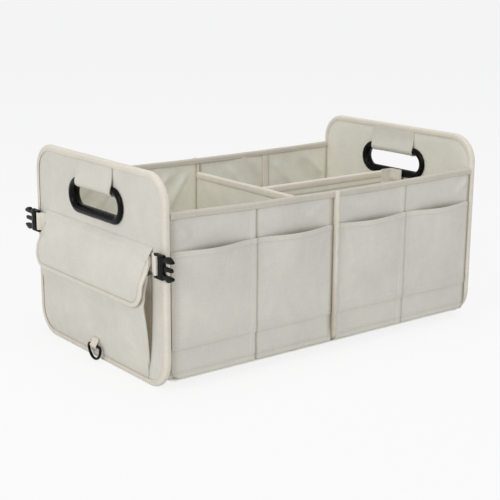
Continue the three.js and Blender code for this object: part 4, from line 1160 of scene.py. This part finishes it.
def d_ring():
    lo, hi = node_box("d_ring")
    bar_z, low = hi[2] - RING_WIRE, lo[2] + RING_WIRE
    bar_o = FACE[-1] - (lo[0] + hi[0]) / 2
    half, turn = (hi[1] - lo[1]) / 2 - RING_WIRE, 3.0
    side_z = bar_z - turn
    pts = [*arc(half - turn, side_z, turn, turn, np.linspace(math.pi / 2, 0, 7)),
           *arc(0, side_z, half, low - side_z, np.linspace(0, math.pi, 40)[1:-1]),
           *arc(turn - half, side_z, -turn, turn, quarter(7, 0))]
    origin, side, _ = loop_frame(on_end(-1), distinct(resample(pts, 2.0)), bar_o)
    sweep("carry_ring", origin, side, (-1, 0, 0), circle(14, RING_WIRE), closed=True, mat=black_mat, body="ring",
          replaces="d_ring")
    radius = RING_WIRE + GAP + 0.5

    def off(z, more=0.0):
        slope = float(pocket_depth(z + 0.5) - pocket_depth(z - 0.5))
        reach = (CLOTH + GAP + 0.9 + more) / math.hypot(1, slope)
        return GAP + float(pocket_depth(z)) + reach, z - slope * reach

    place = on_end(-1)
    line = [off(bar_z + 11), off(bar_z + 8), off(bar_z + 5),
            *arc(bar_o, bar_z, radius, radius, np.radians(np.linspace(170, 370, 9))),
            off(bar_z + 7, 1.7), off(bar_z + 11, 1.3)]
    strip_in_plane("ring_tab", line, lambda p, q, w: place(w, p, q), TAB_WIDTH, TAB, 0.0, tape_mat,
                   replaces="d_ring_tab")


# ---- inside ----


def divider(name, length, bottom, place, hem, seed):
    half, top, turn = BOARD / 2 + GAP + CLOTH / 2, DIVIDER_TOP - CLOTH / 2, 1.8
    line = [*[(-half, z) for z in spans((bottom, top - 30, 27), (top - 30, top - turn, 40))],
            *arc(turn - half, top - turn, -turn, turn, quarter(5))]
    line = mirrored(line, -1, 1)
    a = np.linspace(-length / 2, length / 2, 52)
    A, K = np.meshgrid(a, np.arange(len(line)))
    O, Z = line[K, 0], line[K, 1]
    side = np.sign(O)
    ends = smoothstep(length / 2 - np.abs(A), 0, 10)
    soft = 0.55 * fbm(A + 300 * side, Z, 60, seed) + 0.25 * fbm(A + 300 * side, Z, 26, seed + 3)
    soft = soft + folds(A * side, Z, [(-90, 190, -40, 140, 7, 0.8), (60, 196, 96, 150, 6, -0.7),
                                      (10, 60, 60, 110, 8, 0.7)])
    O = O + side * np.clip(soft + 0.15, -0.25, 1.2) * ends * smoothstep(top - Z, 4, 20)
    # painted shade: a line just under the binding, and a second one further down as strong as hem
    under = DIVIDER_TOP - Z
    painted_shade = 0.55 * bump(under - TAPE_WIDTH - 0.8, 1.4) + hem * bump(under - 2 * TAPE_WIDTH - 1.5, 1.2)
    cover, *_ = grid_cloth(f"{name}_cloth", place(A, O, Z), CLOTH / 2, CLOTH / 2, mat=lining_mat, painted_shade=painted_shade,
                           replaces=f"{name}_cover")
    # bound upper edge
    leg, turn = half + CLOTH / 2 + 0.45, 2.2
    legs = mirrored([(leg, -8), (leg + 0.15, -4), (leg, -2.6), *arc(leg - turn, -1.8, turn, turn, quarter(6))], -1, 1)
    x = np.linspace(-length / 2, length / 2, 90)
    zero = np.zeros(len(x))
    sec = stations(thick_line(legs, TAPE), len(x))
    sec[..., 0] += np.sign(sec[..., 0]) * (0.2 * fbm(x, zero, 40, seed + 6))[:, None]
    out = place(0.0, 1.0, 0.0) - place(0.0, 0.0, 0.0)
    rise = 0.35 * fbm(x, zero, 80, seed + 8)
    band = sweep(f"{name}_binding", place(x, zero, DIVIDER_TOP - 0.3 + rise), out, (0, 0, 1), sec)
    rows = [stitches(f"{name}_stitch_{tag}", place(x, sign * (leg + 0.5) + zero, DIVIDER_TOP - STITCH_DOWN + rise),
                     sign * out) for tag, sign in (("a", 1), ("b", -1))]


def divider_tab():
    """The divider's end tab: along the lining, and over the handle's lower bar."""
    lo, hi = node_box("long_divider_tab")
    beside, start, turn = hi[1] - 0.5, lo[0] - X0, 2.5
    foot = HANDLE_Z - HANDLE_HEIGHT / 2 - 2
    z = np.linspace(lo[2], hi[2], 70)
    far = INNER_FACE - GAP - 0.5 - GRIP_PROUD * smoothstep(z, foot - 2 * GRIP_PROUD, foot)
    rows = []
    for level, end in zip(z, far):
        path = np.array([*[(x, beside) for x in np.linspace(start, end - turn, 14)],
                         *arc(end - turn, beside - turn, turn, turn, np.linspace(math.pi / 2, 0, 7)[1:-1]),
                         *[(end, y) for y in np.linspace(beside - turn, lo[1], 18)]])
        rows.append(in_box(path[:, 0], path[:, 1], level))
    grid = np.array(rows)
    soft = 0.25 * fbm(grid[..., 1] + grid[..., 0], grid[..., 2], 24, 801) * smoothstep(grid[..., 2], 190, 200)
    grid[..., 0] -= np.abs(soft)
    tab, outer, normal = grid_cloth("divider_tab", grid, 0.5, 0.5, mat=web_mat, replaces="long_divider_tab",
                                    slot="fastener_tape")
    face, way = outward(grid, outer, normal, -normal[..., 0].mean())
    rows = [stitches(f"divider_tab_stitch_{name}", face[2:-2, col], way[2:-2, col])
            for name, col in (("inner", 20), ("outer", -3))]


def interior():
    lo, hi = node_box("cross_divider_cover")
    divider("cross_divider", hi[1] - lo[1], lo[2], lambda a, o, u: in_box(o, a, u), 0.0, 601)
    lo, hi = node_box("long_divider_cover")
    mid = (lo[0] + hi[0]) / 2 - X0
    y = (lo[1] + hi[1]) / 2
    divider("long_divider", hi[0] - lo[0], lo[2], lambda a, o, u: in_box(mid + np.asarray(a), y + np.asarray(o), u),
            0.55, 651)
    divider_tab()
    lo, hi = node_box("base_cloth")
    half = (hi[0] - lo[0]) / 2
    ring = distinct(rounded_box(half, lo[1], hi[1], 6.0, 5))
    floor = flat_cloth("floor_cloth", ring, [], lambda a, o, u: in_box(a, u, o),
                       lambda a, u: lo[2] + 2.0 + 0.25 * fbm(a, u, 70, 701) - 0.15, thickness=1.7, step=9.0,
                       mat=lining_mat, replaces="base_cloth")
    for label, seed in (("left", 711), ("right", 721)):
        lo, hi = node_box(f"base_board_{label}")
        cx, half, wide = (lo[0] + hi[0]) / 2 - X0, (hi[0] - lo[0]) / 2, hi[1]
        ring = rounded_box(half, -wide, wide, 4.0, 4)
        flat_cloth(f"base_pad_{label}", ring, [], lambda a, o, u, cx=cx: in_box(cx + np.asarray(a), u, o),
                   lambda a, u, lo=lo, hi=hi, h=half, w=wide, s=seed: hi[2] - 0.05 + 0.12 * fbm(a, u, 50, s)
                   - 0.5 * bump(np.minimum(h - np.abs(a), w - np.abs(u)), 1.6),
                   thickness=3.3, step=8.0, mat=lining_mat, replaces=f"base_board_{label}", slot="stiffener")


for end, label in ((-1, "left"), (1, "right")):
    end_panel(end, label)
    handle(end, label)
for side, label in ((-1, "front"), (1, "back")):
    for half in (-1, 1):
        side_half(half, side)
    side_binding(side, label)
    centre_seam(side, label)
    male(label, side)
    female(label, side)
    webbing(f"web_male_{label}", -1, side, MALE_BAR, f"webbing_male_{label}")
    webbing(f"web_female_{label}", 1, side, FEMALE_BAR, f"webbing_female_{label}")
end_pocket()
seam_strip()
flap_parts()
flap_fold()
loop_strip()
d_ring()
interior()

for obj in list(bpy.data.objects):
    if obj.type == "MESH" and "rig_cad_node" in obj and not obj.hide_render:
        obj.data.materials.clear()
        obj.data.materials.append(board_mat)

# ---- floor, light, camera ----


def backdrop():
    g = Graph(bpy.data.materials.new("floor"))
    path = g.add("ShaderNodeLightPath").outputs
    seen = g.math("MAXIMUM", path["Is Camera Ray"],
                  g.math("MAXIMUM", path["Is Glossy Ray"], path["Is Transmission Ray"]))
    glow = g.add("ShaderNodeEmission", {"Color": (1, 1, 1, 1), "Strength": 0.985})
    g.shade(Base_Color=(0.86, 0.86, 0.855, 1), Roughness=0.9)
    mix = g.add("ShaderNodeMixShader", {0: g.times(seen, 0.86), 1: g.shader.outputs[0], 2: glow.outputs[0]})
    g.feed(g.tree.nodes["Material Output"].inputs["Surface"], mix.outputs[0])
    me = bpy.data.meshes.new("floor")
    me.from_pydata([(-40, -40, 0), (40, -40, 0), (40, 40, 0), (-40, 40, 0)], [], [(0, 1, 2, 3)])
    me.materials.append(g.owner)
    put("floor", me)


def world():
    g = Graph(bpy.data.worlds.new("studio"))
    bpy.context.scene.world = g.owner
    g.tree.nodes.clear()
    path = g.add("ShaderNodeLightPath").outputs
    light, white = (g.add("ShaderNodeBackground", {"Color": colour, "Strength": strength}).outputs[0]
                    for colour, strength in (((0.955, 0.98, 1.0, 1), 0.48), ((1, 1, 1, 1), 0.94)))
    either = g.math("MAXIMUM", path["Is Camera Ray"], path["Is Transmission Ray"])
    mix = g.add("ShaderNodeMixShader", {0: either, 1: light, 2: white})
    g.add("ShaderNodeOutputWorld", {"Surface": mix.outputs[0]})


def lamp(name, place, target, size, watts, colour=(1, 1, 1)):
    data = bpy.data.lights.new(name, "AREA")
    data.shape, data.size, data.energy, data.color = "DISK", size, watts, colour
    obj = put(name, data)
    obj.location = place
    obj.rotation_euler = (Vector(target) - Vector(place)).to_track_quat("-Z", "Y").to_euler()


def camera():
    picture, sensor, focal, yaw, pitch, roll = 500, 36.0, 1140.31, -37.8, 14.16, 0.39
    data = bpy.data.cameras.new("camera")
    data.sensor_width, data.lens = sensor, focal / picture * sensor
    data.clip_start, data.clip_end = 0.05, 50
    obj = put("camera", data)
    a, e = math.radians(yaw), math.radians(pitch)
    back = Vector((math.sin(a) * math.cos(e), -math.cos(a) * math.cos(e), math.sin(e)))
    obj.rotation_mode = "QUATERNION"
    obj.rotation_quaternion = back.to_track_quat("Z", "Y") @ Quaternion((0, 0, 1), math.radians(roll))
    obj.location = ((-1013.89 + X0) / 1000, -1.28277, 0.52384)
    bpy.context.scene.camera = obj


backdrop()
world()
lamp("key", (-2.8, -0.5, 1.5), (-0.1, 0, 0.12), 1.6, 28, (1.0, 0.985, 0.965))
lamp("front", (-0.25, -2.65, 1.7), (0.05, 0.1, 0.15), 1.8, 15.9)
lamp("top", (0.1, 0.1, 2.4), (0, 0, 0), 1.8, 14)
camera()
bpy.context.scene.view_settings.view_transform = "Standard"
